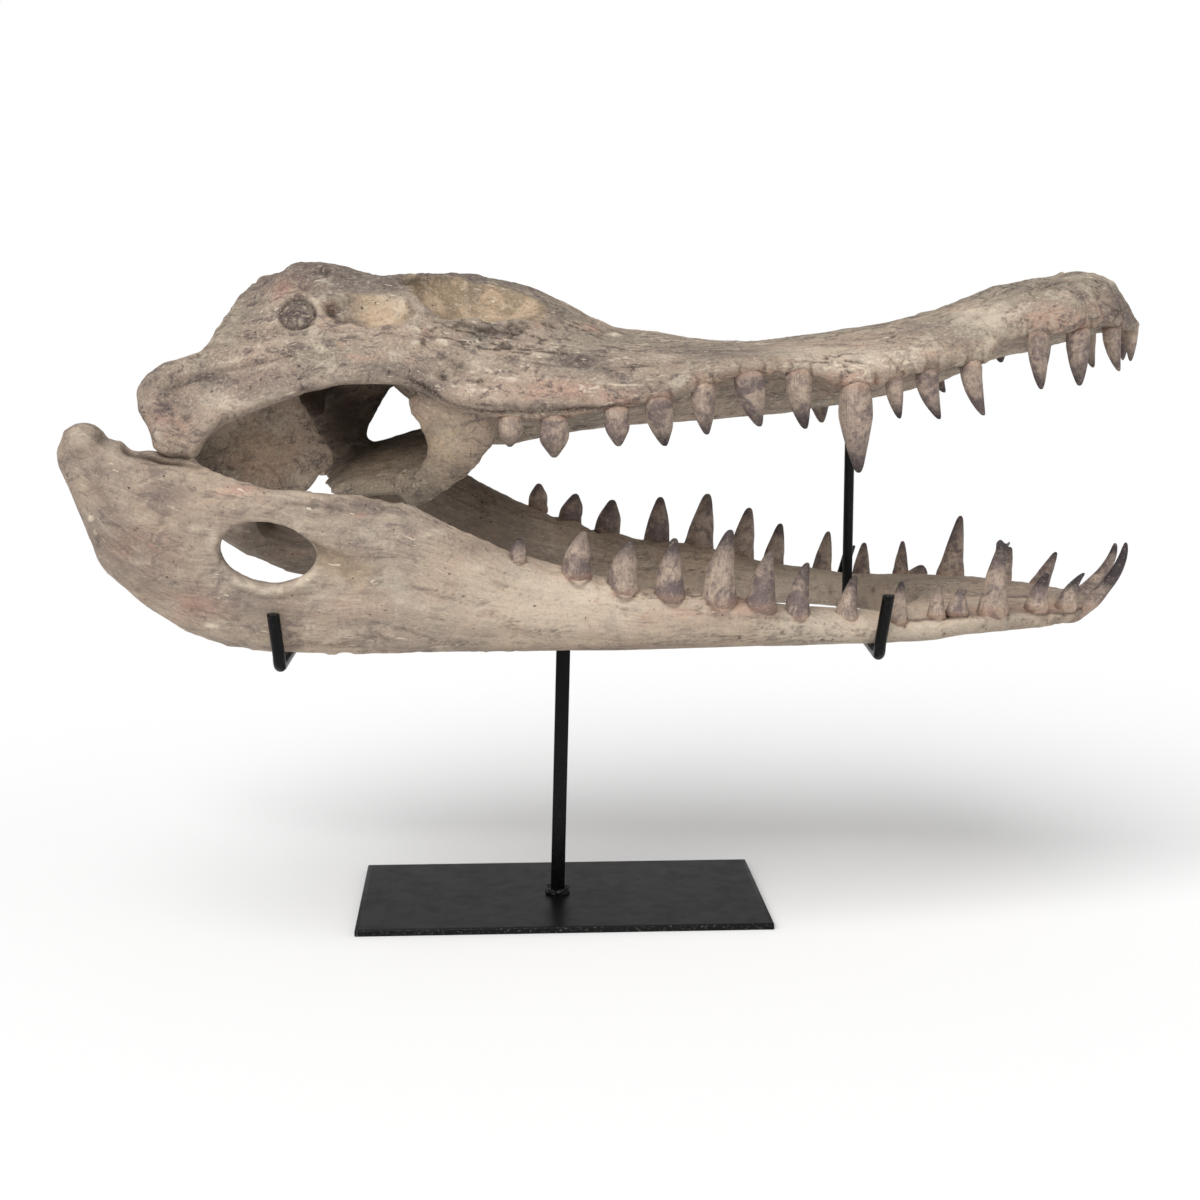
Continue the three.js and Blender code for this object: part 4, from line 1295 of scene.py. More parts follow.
@dataclass
class Cranium(Bone):
    """The upper skull with its snout, orbits, temples, palate and braincase."""

    curve_low: tuple = (
        (-264, 350), (-230, 333), (-205, 358), (-150, 376), (-100, 381), (-73, 363), (-36, 354),
        (30, 357), (102, 375), (166, 381), (205, 371), (252, 381), (303, 400), (370, 411), (409, 411),
    )
    curve_high: tuple = (
        (-264, 377), (-238, 395), (-205, 415), (-180, 445), (-150, 452), (-61, 447), (2, 431), (63, 410),
        (139, 400), (244, 416), (313, 440), (364, 448), (409, 420),
    )

    strokes: tuple = (
        # the long ridge from the quadrate along the cheek, and the hollow above it
        Stroke(((-255, 131, 381), (-235, 126, 388), (-217, 116, 396), (-158, 113, 404), (-110, 108, 408),
               (-80, 98, 413), (-45, 84, 414), (-21, 80, 412), (-8, 72, 412)), 5.0, 2.2),
        Stroke(((-240, 118, 396), (-205, 110, 404), (-158, 104, 412), (-140, 102, 413)), 4.0, -1.5, 0.25),
        # the dark furrow along the middle of the arch
        Stroke(((-246, 134, 372), (-235, 131, 376), (-216, 125, 384), (-194, 122, 389), (-165, 120, 394)),
               2.6, -1.3, 0.55),
        # the thick lower edge of the arch and of the cheek
        Stroke(((-225, 141, 345), (-205, 142, 358), (-172, 137, 371), (-140, 133, 378), (-105, 128, 380)),
               5.5, 1.6),
        Stroke(((-94, 127, 380), (-82, 125, 373), (-69, 124, 363), (-56, 124, 359), (-42, 124, 358),
               (3, 122, 359), (52, 118, 362)), 2.0, -1.6, 0.85),
        Stroke(((-90, 126, 386), (-76, 124, 378), (-62, 124, 369), (-40, 123, 365), (0, 122, 366)), 3.2,
               1.5),
        Stroke(((-200, 142, 371), (-160, 136, 385), (-120, 130, 391), (-85, 126, 384)), 5.0, -1.0, 0.15),
        # the orbit's lower rim with the cracks below it
        Stroke(((-85, 90, 421), (-69, 88, 419), (-52, 86, 416), (-42, 85, 413), (-21, 80, 411),
               (-8, 72, 411), (1, 59, 414), (3, 33, 424)), 2.6, 1.8, 0.35),
        Stroke(((-78, 93, 415), (-60, 92, 412), (-45, 90, 410), (-24, 87, 407)), 1.3, -1.2, 0.9),
        Stroke(((-70, 96, 411), (-51, 94, 409), (-38, 91, 407)), 1.1, -1.0, 0.8),
        Stroke(((-94, 88, 436), (-96, 86, 430), (-94, 91, 422)), 2.0, -1.6, 0.8),
        Stroke(((-88, 86, 436), (-86, 88, 428), (-80, 90, 421)), 3.4, 1.6),
        # cracks of the cheek
        Stroke(((-38, 100, 399), (-24, 98, 400), (-14, 97, 398), (3, 95, 395), (12, 94, 393)), 1.3, -1.2,
               0.95),
        Stroke(((-50, 104, 398), (-36, 101, 398)), 1.2, -0.9, 0.8),
        Stroke(((-66, 118, 383), (-56, 120, 377), (-47, 120, 378)), 1.4, -1.2, 0.8),
        Stroke(((-82, 122, 366), (-72, 123, 357), (-60, 122, 350)), 1.5, -1.2, 0.8),
        Stroke(((20, 106, 384), (38, 106, 382), (60, 104, 381)), 1.5, -0.9, 0.7),
        Stroke(((-24, 106, 390), (-4, 106, 388), (18, 105, 386)), 1.6, -0.9, 0.5),
        # the back of the table
        Stroke(((-215, 60, 420), (-206, 60, 430), (-196, 36, 441), (-190, 12, 443)), 4.0, 1.6, 0.3),
        Stroke(((-190, 86, 426), (-176, 84, 430), (-160, 84, 433), (-146, 84, 432)), 2.6, -1.6, 0.6),
    )
    spots: tuple = (
        Spot((-166, 101, 420), (12, 13, 12), 2.0), Spot((-145, 91, 421), (7, 9, 7), -4.2, 0.4),
        Spot((-152, 84, 441), (10, 10, 6), 1.6), Spot((-61, 117, 388), (9, 12, 8), -4.0, 0.65),
        Spot((-71, 122, 381), (4.5, 7, 5), -2.4, 0.9), Spot((-90, 114, 401), (6, 8, 5), 1.4),
        Spot((-84, 112, 402), (2.6, 6, 3), -1.4, 0.9), Spot((-72, 106, 402), (8, 8, 5), 1.8),
        Spot((-61, 94, 411), (8, 7, 4), -1.2), Spot((-54, 123, 371), (6, 8, 6), 2.2),
        Spot((-46, 118, 380), (7, 7, 2.6), 1.8), Spot((-27, 117, 378), (10, 7, 3), 1.2),
        Spot((-11, 98, 394), (12, 8, 3), 1.2), Spot((-98, 94, 419), (6, 6, 5), 2.0, 0.35),
        Spot((24, 50, 415), (10, 9, 8), 2.4), Spot((34, 14, 420), (11, 12, 7), 2.6),
        Spot((40, 48, 411), (7, 8, 5), 2.0), Spot((300, 64, 398), (9, 12, 8), -3.4, 0.4),
        Spot((-226, 121, 394), (2.5, 5, 2.5), -1.6, 1.0), Spot((-250, 137, 362), (11, 12, 10), 1.6),
        Spot((-244, 140, 345), (9, 10, 8), 1.6), Spot((-232, 139, 356), (5, 8, 7), -1.4, 0.3),
        Spot((352, 50, 436), (9, 9, 8), 1.8), Spot((330, 42, 440), (8, 8, 8), -1.8, 0.3),
        Spot((262, 50, 420), (8, 10, 6), 2.0), Spot((283, 56, 420), (7, 8, 5), -1.6, 0.35),
        Spot((-110, 128, 386), (12, 10, 6), 1.0), Spot((-231, 138, 337), (9, 12, 9), 5.0),
        Spot((406, 0, 428), (6, 6, 12), -3.0, 0.95), Spot((404, 9, 420), (5, 4, 8), -1.0, 0.6),
    )
    # plum patches of the cast; the dabs along the lower edge of the arch and round the quadrate also
    # stand for the shade there, painted shade
    plum: tuple = (
        (-205, 50, 432, 14, 44, 14, 0.6), (-166, 101, 420, 11, 12, 11, 1.0),
        (-256, 131, 378, 14, 14, 16, 0.85), (-216, 127, 380, 44, 14, 7, 0.55),
        (-100, 126, 384, 36, 16, 7, 0.8), (-80, 124, 372, 12, 12, 12, 0.9),
        (13, 104, 391, 30, 22, 9, 0.95), (28, 110, 384, 26, 18, 8, 0.6), (-40, 92, 408, 32, 16, 6, 0.75),
        (108, 84, 396, 44, 30, 9, 0.7), (257, 57, 413, 30, 20, 7, 0.45), (385, 36, 424, 20, 24, 22, 0.9),
        (190, 96, 392, 18, 16, 9, 0.5), (320, 50, 434, 30, 30, 10, 0.12), (4, 54, 424, 16, 26, 12, 0.8),
        (-100, 60, 444, 60, 50, 8, 0.4), (-160, 130, 374, 50, 14, 5, 0.5), (60, 112, 372, 26, 14, 6, 0.7),
        (-60, 70, 440, 60, 50, 8, 0.35), (-196, 96, 418, 16, 16, 10, 0.45),
        (-20, 122, 362, 50, 14, 4, 0.6), (-245, 135, 362, 32, 24, 30, 0.55),
        (-180, 136, 378, 70, 20, 18, 0.55),
    )
    pink: tuple = (
        (-179, 84, 436, 18, 14, 10, 1.0), (3, 118, 372, 44, 20, 10, 0.7), (41, 120, 366, 34, 16, 9, 0.8),
        (24, 50, 415, 11, 11, 8, 1.0), (192, 96, 384, 30, 20, 12, 0.9), (-243, 138, 350, 18, 16, 16, 0.8),
        (330, 62, 415, 44, 30, 14, 0.8), (90, 100, 378, 50, 26, 12, 0.6), (-95, 104, 408, 26, 16, 7, 0.5),
        (140, 96, 386, 40, 20, 10, 0.6), (250, 70, 396, 40, 20, 10, 0.6),
        (-190, 90, 322, 30, 24, 20, 0.6), (-145, 92, 423, 8, 8, 7, 1.0), (-118, 92, 424, 24, 16, 14, 0.7),
        (-176, 74, 330, 14, 20, 16, 0.8), (-205, 92, 322, 22, 22, 12, 0.8),
        (370, 50, 420, 30, 30, 20, 0.6),
    )
    cream: tuple = (
        (-150, 82, 441, 10, 10, 7, 0.5), (-72, 106, 403, 7, 7, 4, 0.75), (-90, 115, 402, 6, 6, 4, 0.6),
        (-11, 99, 394, 11, 7, 3, 0.65), (-27, 118, 378, 9, 6, 3, 0.65), (-54, 124, 372, 6, 6, 5, 0.6),
        (-50, 116, 391, 16, 10, 7, 0.5), (40, 49, 411, 7, 7, 5, 0.9), (-215, 139, 368, 18, 14, 12, 0.45),
        (290, 66, 400, 12, 12, 8, 0.7), (70, 92, 392, 18, 12, 4, 0.5), (-166, 104, 410, 12, 8, 2.5, 0.5),
        (10, 90, 399, 20, 8, 3, 0.7), (-104, 90, 424, 9, 12, 8, 0.8), (-114, 92, 426, 24, 16, 16, 0.7),
        (185, 88, 392, 90, 40, 16, 0.55), (285, 52, 418, 48, 38, 26, 0.6),
        (-75, 84, 405, 26, 24, 22, 0.25), (-72, 100, 340, 24, 26, 26, 0.35),
        (-100, 92, 430, 5, 16, 16, 0.8),
    )
    # the speckled knob has unit radii, so that its distance is in millimetres
    knob: Oval = Oval((-166, 99, 420), (1, 1.2, 1))
    eye: Oval = Oval((-48, 60, 436), (54, 38, 26))
    socket: Oval = Oval((-48, 60, 440), (55, 39, 36))
    temple: Oval = Oval((-119, 97, 426), (33, 16, 18))
    nostril: Oval = Oval((373, 0, 450), (19, 16, 14))
    gold: tuple = (
        (-61, 94, 411, 8, 7, 4, 0.9), (-195, 92, 332, 40, 22, 28, 0.55),
        (-78, 104, 338, 28, 26, 32, 0.95), (-120, 56, 318, 44, 50, 22, 0.6),
    )
    # painted shade on the braincase's side wall, deep under the arch
    shade: tuple = ((-146, 14, 352, 40, 34, 46, 1.0), (-158, 40, 372, 30, 40, 20, 0.8))

    def teeth(self) -> list:
        """List the upper teeth of both sides."""
        return [(one, Jaw.UPPER, side) for side in Side for one in tooth_row(Jaw.UPPER, side)]

    def thicken(self, piece: bpy.types.Object) -> None:
        """Give the thin rims of the quadrate's plate and of the palate's wings a little more body."""
        clay = Clay(piece)
        x, out, z = clay.points[:, 0], np.abs(clay.points[:, 1]), clay.points[:, 2]
        plate = (x > -245) & (x < -140) & (out > 62) & (out < 105) & (z < 345)
        wing = (x > -175) & (x < -130) & (out < 95) & (z < 340)
        clay.push(np.maximum(1.6 * plate, 2.6 * wing))
        clay.store()

    def dip(self, p: np.ndarray) -> np.ndarray:
        """Tell how far the outline of the crown and of the snout sinks below an even curve.

        Args:
            p: N by 3 places in millimetres.

        Returns:
            Millimetres downwards.
        """
        x = p[:, 0]
        top = np.interp(x, *zip(*self.curve_high))
        sag = 4.0 * bell(x, -124, 24) + 6.0 * bell(x, 36, 25)
        sag -= 2.0 * bell(x, -166, 15)
        nose = 7.0 * smooth_step(x, 374, 400) * smooth_step(p[:, 2], 405, 428)
        return sag * smooth_step(p[:, 2], top - 26, top - 2) + nose

    def sculpt(self, clay: Clay) -> dict:
        """Shape ridges, rims, pits and knobs of the cranium.

        Args:
            clay: The bone's points.

        Returns:
            Masks by name.
        """
        p = clay.points
        fold = np.column_stack([p[:, 0], np.abs(p[:, 1]), p[:, 2]])
        push = np.zeros(len(p))
        slit = np.zeros(len(p))
        for mark in self.strokes + self.spots:
            reach = mark.reach(fold)
            push += mark.height * reach
            slit = np.maximum(slit, mark.stain * reach)
        knob = self.knob.away(fold)
        push -= 1.9 * bell(knob, 11.0, 1.8) - 0.9 * bell(knob, 14.6, 2.2)
        slit = np.maximum(slit, 0.75 * bell(knob, 10.8, 1.6))
        slit = np.maximum(slit, 0.45 * smooth_step(knob, 11, 8.5))
        eye = self.eye.away(fold)
        inside = smooth_step(eye, 1.0, 0.88)
        socket = self.socket.away(fold)
        socket = smooth_step(socket, 1.0, 0.92)
        push += 2.6 * bell(fold[:, 0] + 60 + 0.12 * (fold[:, 2] - 425), 0, 3.6) * inside
        temple = self.temple.away(fold)
        push += 1.0 * bell(temple, 1.06, 0.1) * smooth_step(fold[:, 0], -120, -100)
        slit = np.maximum(slit, 0.6 * bell(eye, 0.94, 0.045))
        crest = smooth_step(p[:, 2], 428, 444) * smooth_step(p[:, 0], 20, -10)
        push += crest * 1.7 * Grain.layered(p, (9, 7, 7), 3, 41)
        slit = np.maximum(slit, crest * 0.8 * crevices(p, (9, 8, 8), 43, 0.09))
        front = smooth_step(p[:, 0], 215, 285)
        push += front * 1.5 * Grain.layered(p, (9, 7, 6), 3, 47)
        rough = crevices(p, (9, 8, 7), 49, 0.1) * front * smooth_step(p[:, 2], 396, 406)
        facing = clay.normals()
        skin = smooth_step(np.maximum(facing[:, 2], facing[:, 1] * np.sign(p[:, 1])), 0.0, 0.35)
        cheek = skin * (1 - np.maximum(inside, smooth_step(temple, 1.1, 0.9)))
        cheek *= smooth_step(p[:, 0], -130, -70) * (1 - front)
        cheek *= smooth_step(p[:, 2] - np.interp(p[:, 0], *zip(*self.curve_low)), 1, 8)
        flakes = crevices(p, (34, 9, 6), 51, 0.07) * cheek
        rear = smooth_step(p[:, 0], -70, -130) * 0.6 * crevices(p, (22, 10, 8), 57, 0.05)
        push += (0.35 + 0.75 * cheek) * Grain.layered(p, (42, 10, 7), 3, 53)
        dash = crevices(p, (28, 8, 3.6), 83, 0.05) * cheek
        push += 0.5 * dash - 0.9 * flakes - 0.7 * rough - 0.6 * rear
        slit = np.maximum(slit, np.maximum(0.9 * flakes, np.maximum(0.6 * rough, 0.6 * rear)))
        disc = smooth_step(knob, 11, 8.5)
        push += disc * 1.2 * Grain.layered(p, (4, 4, 4), 2, 59)
        nostril = self.nostril.away(p)
        push += 2.0 * bell(nostril, 1.12, 0.16)
        tip = smooth_step(p[:, 0], 396, 404) * bell(p[:, 1], 0, 2.6) * smooth_step(p[:, 2], 410, 420)
        push -= 3.4 * tip
        slit = np.maximum(slit, tip)
        clay.push(push)
        clay.points[:, 2] -= self.dip(p)
        before = clay.points.copy()
        clay.relax(45, keep=False)
        thin = smooth_step(p[:, 0], -190, -176) * smooth_step(p[:, 0], -130, -142)
        thin = thin * smooth_step(p[:, 2], 345, 334)
        clay.points = before + (clay.points - before) * (thin * smooth_step(fold[:, 1], 94, 86))[:, None]
        pit = smooth_step(temple, 1.05, 0.85) * smooth_step(p[:, 0], -140, -118)
        amber = np.maximum(np.maximum(0.95 * socket, pit), dab(fold, self.gold))
        # painted shade dabbed on the braincase's side wall
        cave = dab(fold, self.shade)
        plum = np.maximum(dab(fold, self.plum), np.maximum(0.7 * crest, disc))
        flecks = 0.7 * disc * smooth_step(Grain.value(p / 1.5, 63), 0.2, 0.55)
        return {
            "amber": amber, "slit": slit, "cave": cave, "plum": plum, "pink": dab(fold, self.pink),
            "lit": blob(fold, (-72, 100, 342), (34, 34, 34)),
            "cream": dab(fold, self.cream) + 0.8 * dash + flecks,
        }

    def roughen(self, clay: Clay) -> np.ndarray:
        """Give the small unevenness of the surface, in millimetres."""
        return 0.45 * Grain.layered(clay.points, (14, 7, 6), 3, 31)


@dataclass
class JawHalf(Bone):
    """One half of the lower jaw."""

    side: Side = Side.RIGHT
    coarse: float = 2.7
    curve_low: tuple = (
        (-312, 326), (-302, 289), (-295, 268), (-279, 249), (-263, 234), (-247, 222), (-230, 214),
        (-190, 207), (-75, 203), (48, 200), (203, 200), (308, 197), (345, 200), (379, 213),
    )
    curve_high: tuple = (
        (-312, 342), (-293, 355), (-278, 341), (-217, 327), (-154, 313), (-99, 305), (-63, 286),
        (-20, 266), (22, 255), (56, 243), (116, 238), (200, 222), (302, 224), (379, 216),
    )

    strokes: tuple = (
        Stroke(((-281, 150, 345), (-279, 115, 345)), 6.0, -4.0, 0.3),
        # the cup that carries the cranium, with a painted shadow line along the gap under it
        Stroke(((-268, 150, 338), (-266, 120, 338)), 7.0, -3.2),
        Stroke(((-268, 138, 340), (-262, 138, 338), (-255, 141, 335), (-246, 143, 332), (-236, 142, 331)),
               3.4, -2.0, 1.0),
        Stroke(((-240, 150, 330), (-226, 152, 329), (-214, 153, 325)), 4.0, 1.6),
        # the window: a rim behind it, rays beside the rim, a pale shelf below and a hollow in front
        Stroke(((-211, 162, 292), (-212, 162, 284), (-210, 162, 274)), 3.0, 1.4),
        Stroke(((-214, 162, 287), (-240, 162, 293)), 1.8, 0.9),
        Stroke(((-214, 162, 290), (-236, 162, 300)), 1.8, 0.8),
        Stroke(((-216, 162, 283), (-244, 162, 284)), 1.8, 0.7),
        Stroke(((-200, 161, 257), (-184, 161, 251), (-172, 160, 251), (-160, 159, 255), (-152, 158, 262)),
               4.0, 1.7),
        Stroke(((-198, 161, 250), (-180, 161, 245), (-165, 160, 246), (-152, 159, 250)), 1.8, -1.4, 0.6),
        Stroke(((-149, 158, 274), (-139, 156, 268), (-124, 156, 261)), 7.0, -3.4, 0.3),
        Stroke(((-160, 158, 286), (-142, 157, 279), (-122, 156, 267), (-112, 156, 261)), 2.4, 1.2),
        Stroke(((-152, 158, 280), (-138, 157, 273), (-118, 156, 262)), 1.5, -1.2, 0.6),
        # long furrows along the upper edge
        Stroke(((-168, 155, 306), (-140, 154, 302), (-112, 152, 298), (-90, 149, 291)), 1.6, -1.1, 0.7),
        Stroke(((-150, 156, 298), (-122, 154, 294), (-96, 151, 286), (-70, 148, 276)), 1.5, -1.0, 0.6),
        Stroke(((-110, 152, 303), (-86, 148, 296), (-64, 144, 284)), 1.6, -1.0, 0.6),
        Stroke(((-196, 153, 314), (-154, 150, 309), (-99, 146, 301), (-60, 142, 283), (-20, 136, 262)),
               4.0, 1.2),
        # cracks of the rear corner
        Stroke(((-288, 152, 284), (-278, 156, 279), (-269, 157, 276), (-258, 158, 270)), 2.0, -1.3, 0.5),
        Stroke(((-284, 154, 274), (-270, 157, 269)), 1.8, -1.1, 0.4),
        Stroke(((-276, 150, 330), (-270, 155, 318), (-266, 158, 304)), 3.0, 1.0),
        Stroke(((-286, 146, 334), (-284, 152, 318), (-280, 156, 302)), 3.0, -1.0, 0.2),
    )
    plum: tuple = (
        (-245, 158, 312, 32, 20, 20, 0.7), (-225, 158, 292, 26, 20, 22, 0.45),
        (-120, 152, 304, 50, 20, 8, 0.75), (-180, 158, 240, 60, 20, 10, 0.3),
        (-40, 140, 275, 40, 20, 8, 0.5), (40, 125, 205, 160, 40, 5, 0.4),
        (-284, 146, 318, 14, 20, 26, 0.45), (200, 100, 205, 120, 40, 5, 0.3),
        (-135, 155, 300, 10, 10, 4, 1.0), (-290, 150, 280, 10, 14, 20, 0.6),
        (-130, 156, 274, 30, 12, 5, 0.4), (-255, 150, 330, 18, 20, 8, 0.7),
        (-262, 156, 270, 60, 30, 70, 0.5), (-300, 148, 330, 16, 24, 20, 0.35),
        (-205, 158, 296, 20, 20, 12, 0.35),
    )
    pink: tuple = (
        (-262, 156, 276, 24, 20, 22, 0.8), (-232, 158, 240, 34, 20, 14, 0.8),
        (-270, 149, 334, 6, 10, 6, 1.0), (240, 88, 222, 16, 14, 4, 1.0), (300, 70, 224, 50, 24, 4, 0.9),
        (355, 40, 217, 24, 24, 5, 0.9), (-196, 153, 313, 16, 10, 4, 1.0),
        (120, 112, 228, 180, 30, 8, 0.6), (-122, 153, 297, 7, 8, 2.4, 1.0),
        (-120, 156, 240, 60, 20, 12, 0.4), (0, 136, 240, 60, 20, 12, 0.4),
    )
    cream: tuple = (
        (-218, 153, 227, 7, 8, 2.4, 0.9), (-291, 152, 296, 3, 6, 4, 0.9), (-288, 153, 286, 3, 6, 3, 0.8),
        (-100, 150, 240, 90, 20, 12, 0.3), (60, 130, 225, 120, 30, 8, 0.3),
        (-213, 162, 284, 6, 10, 9, 0.5), (-226, 160, 290, 14, 10, 5, 0.4),
        (-150, 156, 310, 40, 10, 3, 0.4), (10, 134, 240, 130, 36, 34, 0.6),
        (215, 95, 214, 140, 60, 20, 0.62),
    )
    # the line of the cup, where a painted shadow lies under the cranium
    cup: tuple = (
        (-266, 141, 338), (-258, 142, 335), (-248, 143, 331), (-236, 143, 330), (-224, 143, 328),
    )
    shelf: tuple = (
        (-200, 161, 257), (-184, 161, 251), (-172, 160, 251), (-160, 159, 255), (-152, 158, 262),
    )
    recess: tuple = ((-149, 158, 274), (-139, 156, 268), (-124, 156, 261))
    holes: range = range(120, 372, 28)
    # the left half has a higher heel and a lower underside, the right half a higher rim
    heel_rise: float = 9.0
    belly_drop: float = 4.4
    rim_lift: float = 1.8

    def teeth(self) -> list:
        """List the lower teeth of this side."""
        return [(one, Jaw.LOWER, self.side) for one in tooth_row(Jaw.LOWER, self.side)]

    def local(self, points: np.ndarray) -> np.ndarray:
        """Undo the roll of the lower jaw."""
        return roll(points, back=True)

    def unlocal(self, points: np.ndarray) -> np.ndarray:
        """Apply the roll of the lower jaw."""
        return roll(points)

    def sculpt(self, clay: Clay) -> dict:
        """Shape the cup, the window's lip and the long grain of the jaw.

        Args:
            clay: The bone's points.

        Returns:
            Masks by name.
        """
        p = self.local(clay.points)
        out = p[:, 1] * self.side.value
        fold = np.column_stack([p[:, 0], out, p[:, 2]])
        push = np.zeros(len(p))
        slit = np.zeros(len(p))
        for mark in self.strokes:
            reach = mark.reach(fold)
            push += mark.height * reach
            slit = np.maximum(slit, mark.stain * reach)
        grain = self.flow(clay) / MM
        along = smooth_step(p[:, 0], -220, -120)
        push += (0.25 + 0.45 * along) * Grain.layered(grain, (90, 5.5, 12), 3, 61)
        cuts = crevices(grain, (60, 4.0, 9), 65, 0.06) * (0.35 + 0.65 * along)
        corner = blob(fold, (-262, 155, 272), (34, 30, 36))
        push += 0.5 * corner * Grain.layered(p, (12, 9, 9), 3, 67) - 0.55 * cuts
        slit = np.maximum(slit, 0.5 * cuts)
        for k, x in enumerate(self.holes):
            reach = np.hypot(p[:, 0] - x, p[:, 2] - 210 - 4 * math.sin(k * 2.1))
            hole = bell(reach, 0, 1.4) * smooth_step(out, 20, 50)
            push -= 1.0 * hole
            slit = np.maximum(slit, 0.7 * hole)
        front = smooth_step(p[:, 0], 230, 330)
        push += front * 0.8 * Grain.layered(p, (9, 7, 6), 3, 69)
        facing = clay.normals()[:, 1] * self.side.value
        rim = np.interp(p[:, 0], *zip(*self.curve_high)) - p[:, 2]
        chin = smooth_step(p[:, 0], 222, 238) * smooth_step(facing, 0.1, 0.5)
        worn = bell(rim - 4.5, 1.8 * Grain.layered(p, (11, 30, 30), 2, 73), 1.5) * chin
        push -= 1.1 * worn
        slit = np.maximum(slit, 0.85 * worn)
        if self.side is Side.LEFT:
            low = smooth_step(p[:, 0], 30, 80) * smooth_step(p[:, 0], 262, 232)
            low = low * smooth_step(p[:, 2], 216, 203)
            heel = smooth_step(p[:, 0], -195, -238) * smooth_step(p[:, 0], -304, -264)
            heel *= smooth_step(p[:, 2] - np.interp(p[:, 0], *zip(*self.curve_low)), 30, 4)
            clay.points[:, 2] += self.heel_rise * heel - self.belly_drop * low
        else:
            lift = smooth_step(p[:, 0], 140, 165) * smooth_step(p[:, 0], 226, 208)
            clay.points[:, 2] += self.rim_lift * (lift * smooth_step(p[:, 2], 212, 221))
        clay.push(push)
        recess = along_line(fold, self.recess)
        # painted shade: the faces turned to the midline darken towards the rear, and a painted shadow
        # line lies along the cup
        inner = smooth_step(clay.normals()[:, 1] * self.side.value, 0.1, -0.5)
        inner = inner * smooth_step(p[:, 0], 330, 250)
        deep = smooth_step(p[:, 0], 5, -60) * 0.52 + 0.02
        cup = bell(along_line(fold, self.cup), 0, 2.8)
        shelf = bell(along_line(fold, self.shelf), 0, 3.2)
        return {
            "amber": 0.8 * bell(recess, 0, 9.0), "slit": slit,
            "cave": np.maximum(inner * deep, cup), "plum": dab(fold, self.plum),
            "pink": np.maximum(dab(fold, self.pink), 0.9 * chin * smooth_step(rim, 6, 3)),
            "cream": np.maximum(dab(fold, self.cream), 0.6 * shelf),
            "lit": 0.95 * smooth_step(p[:, 0], -60, 10),
        }

    def roughen(self, clay: Clay) -> np.ndarray:
        """Give the small unevenness of the surface, in millimetres."""
        return 0.28 * Grain.layered(clay.points, (18, 7, 6), 3, 33)


# ---------------------------------------------------------------- stand


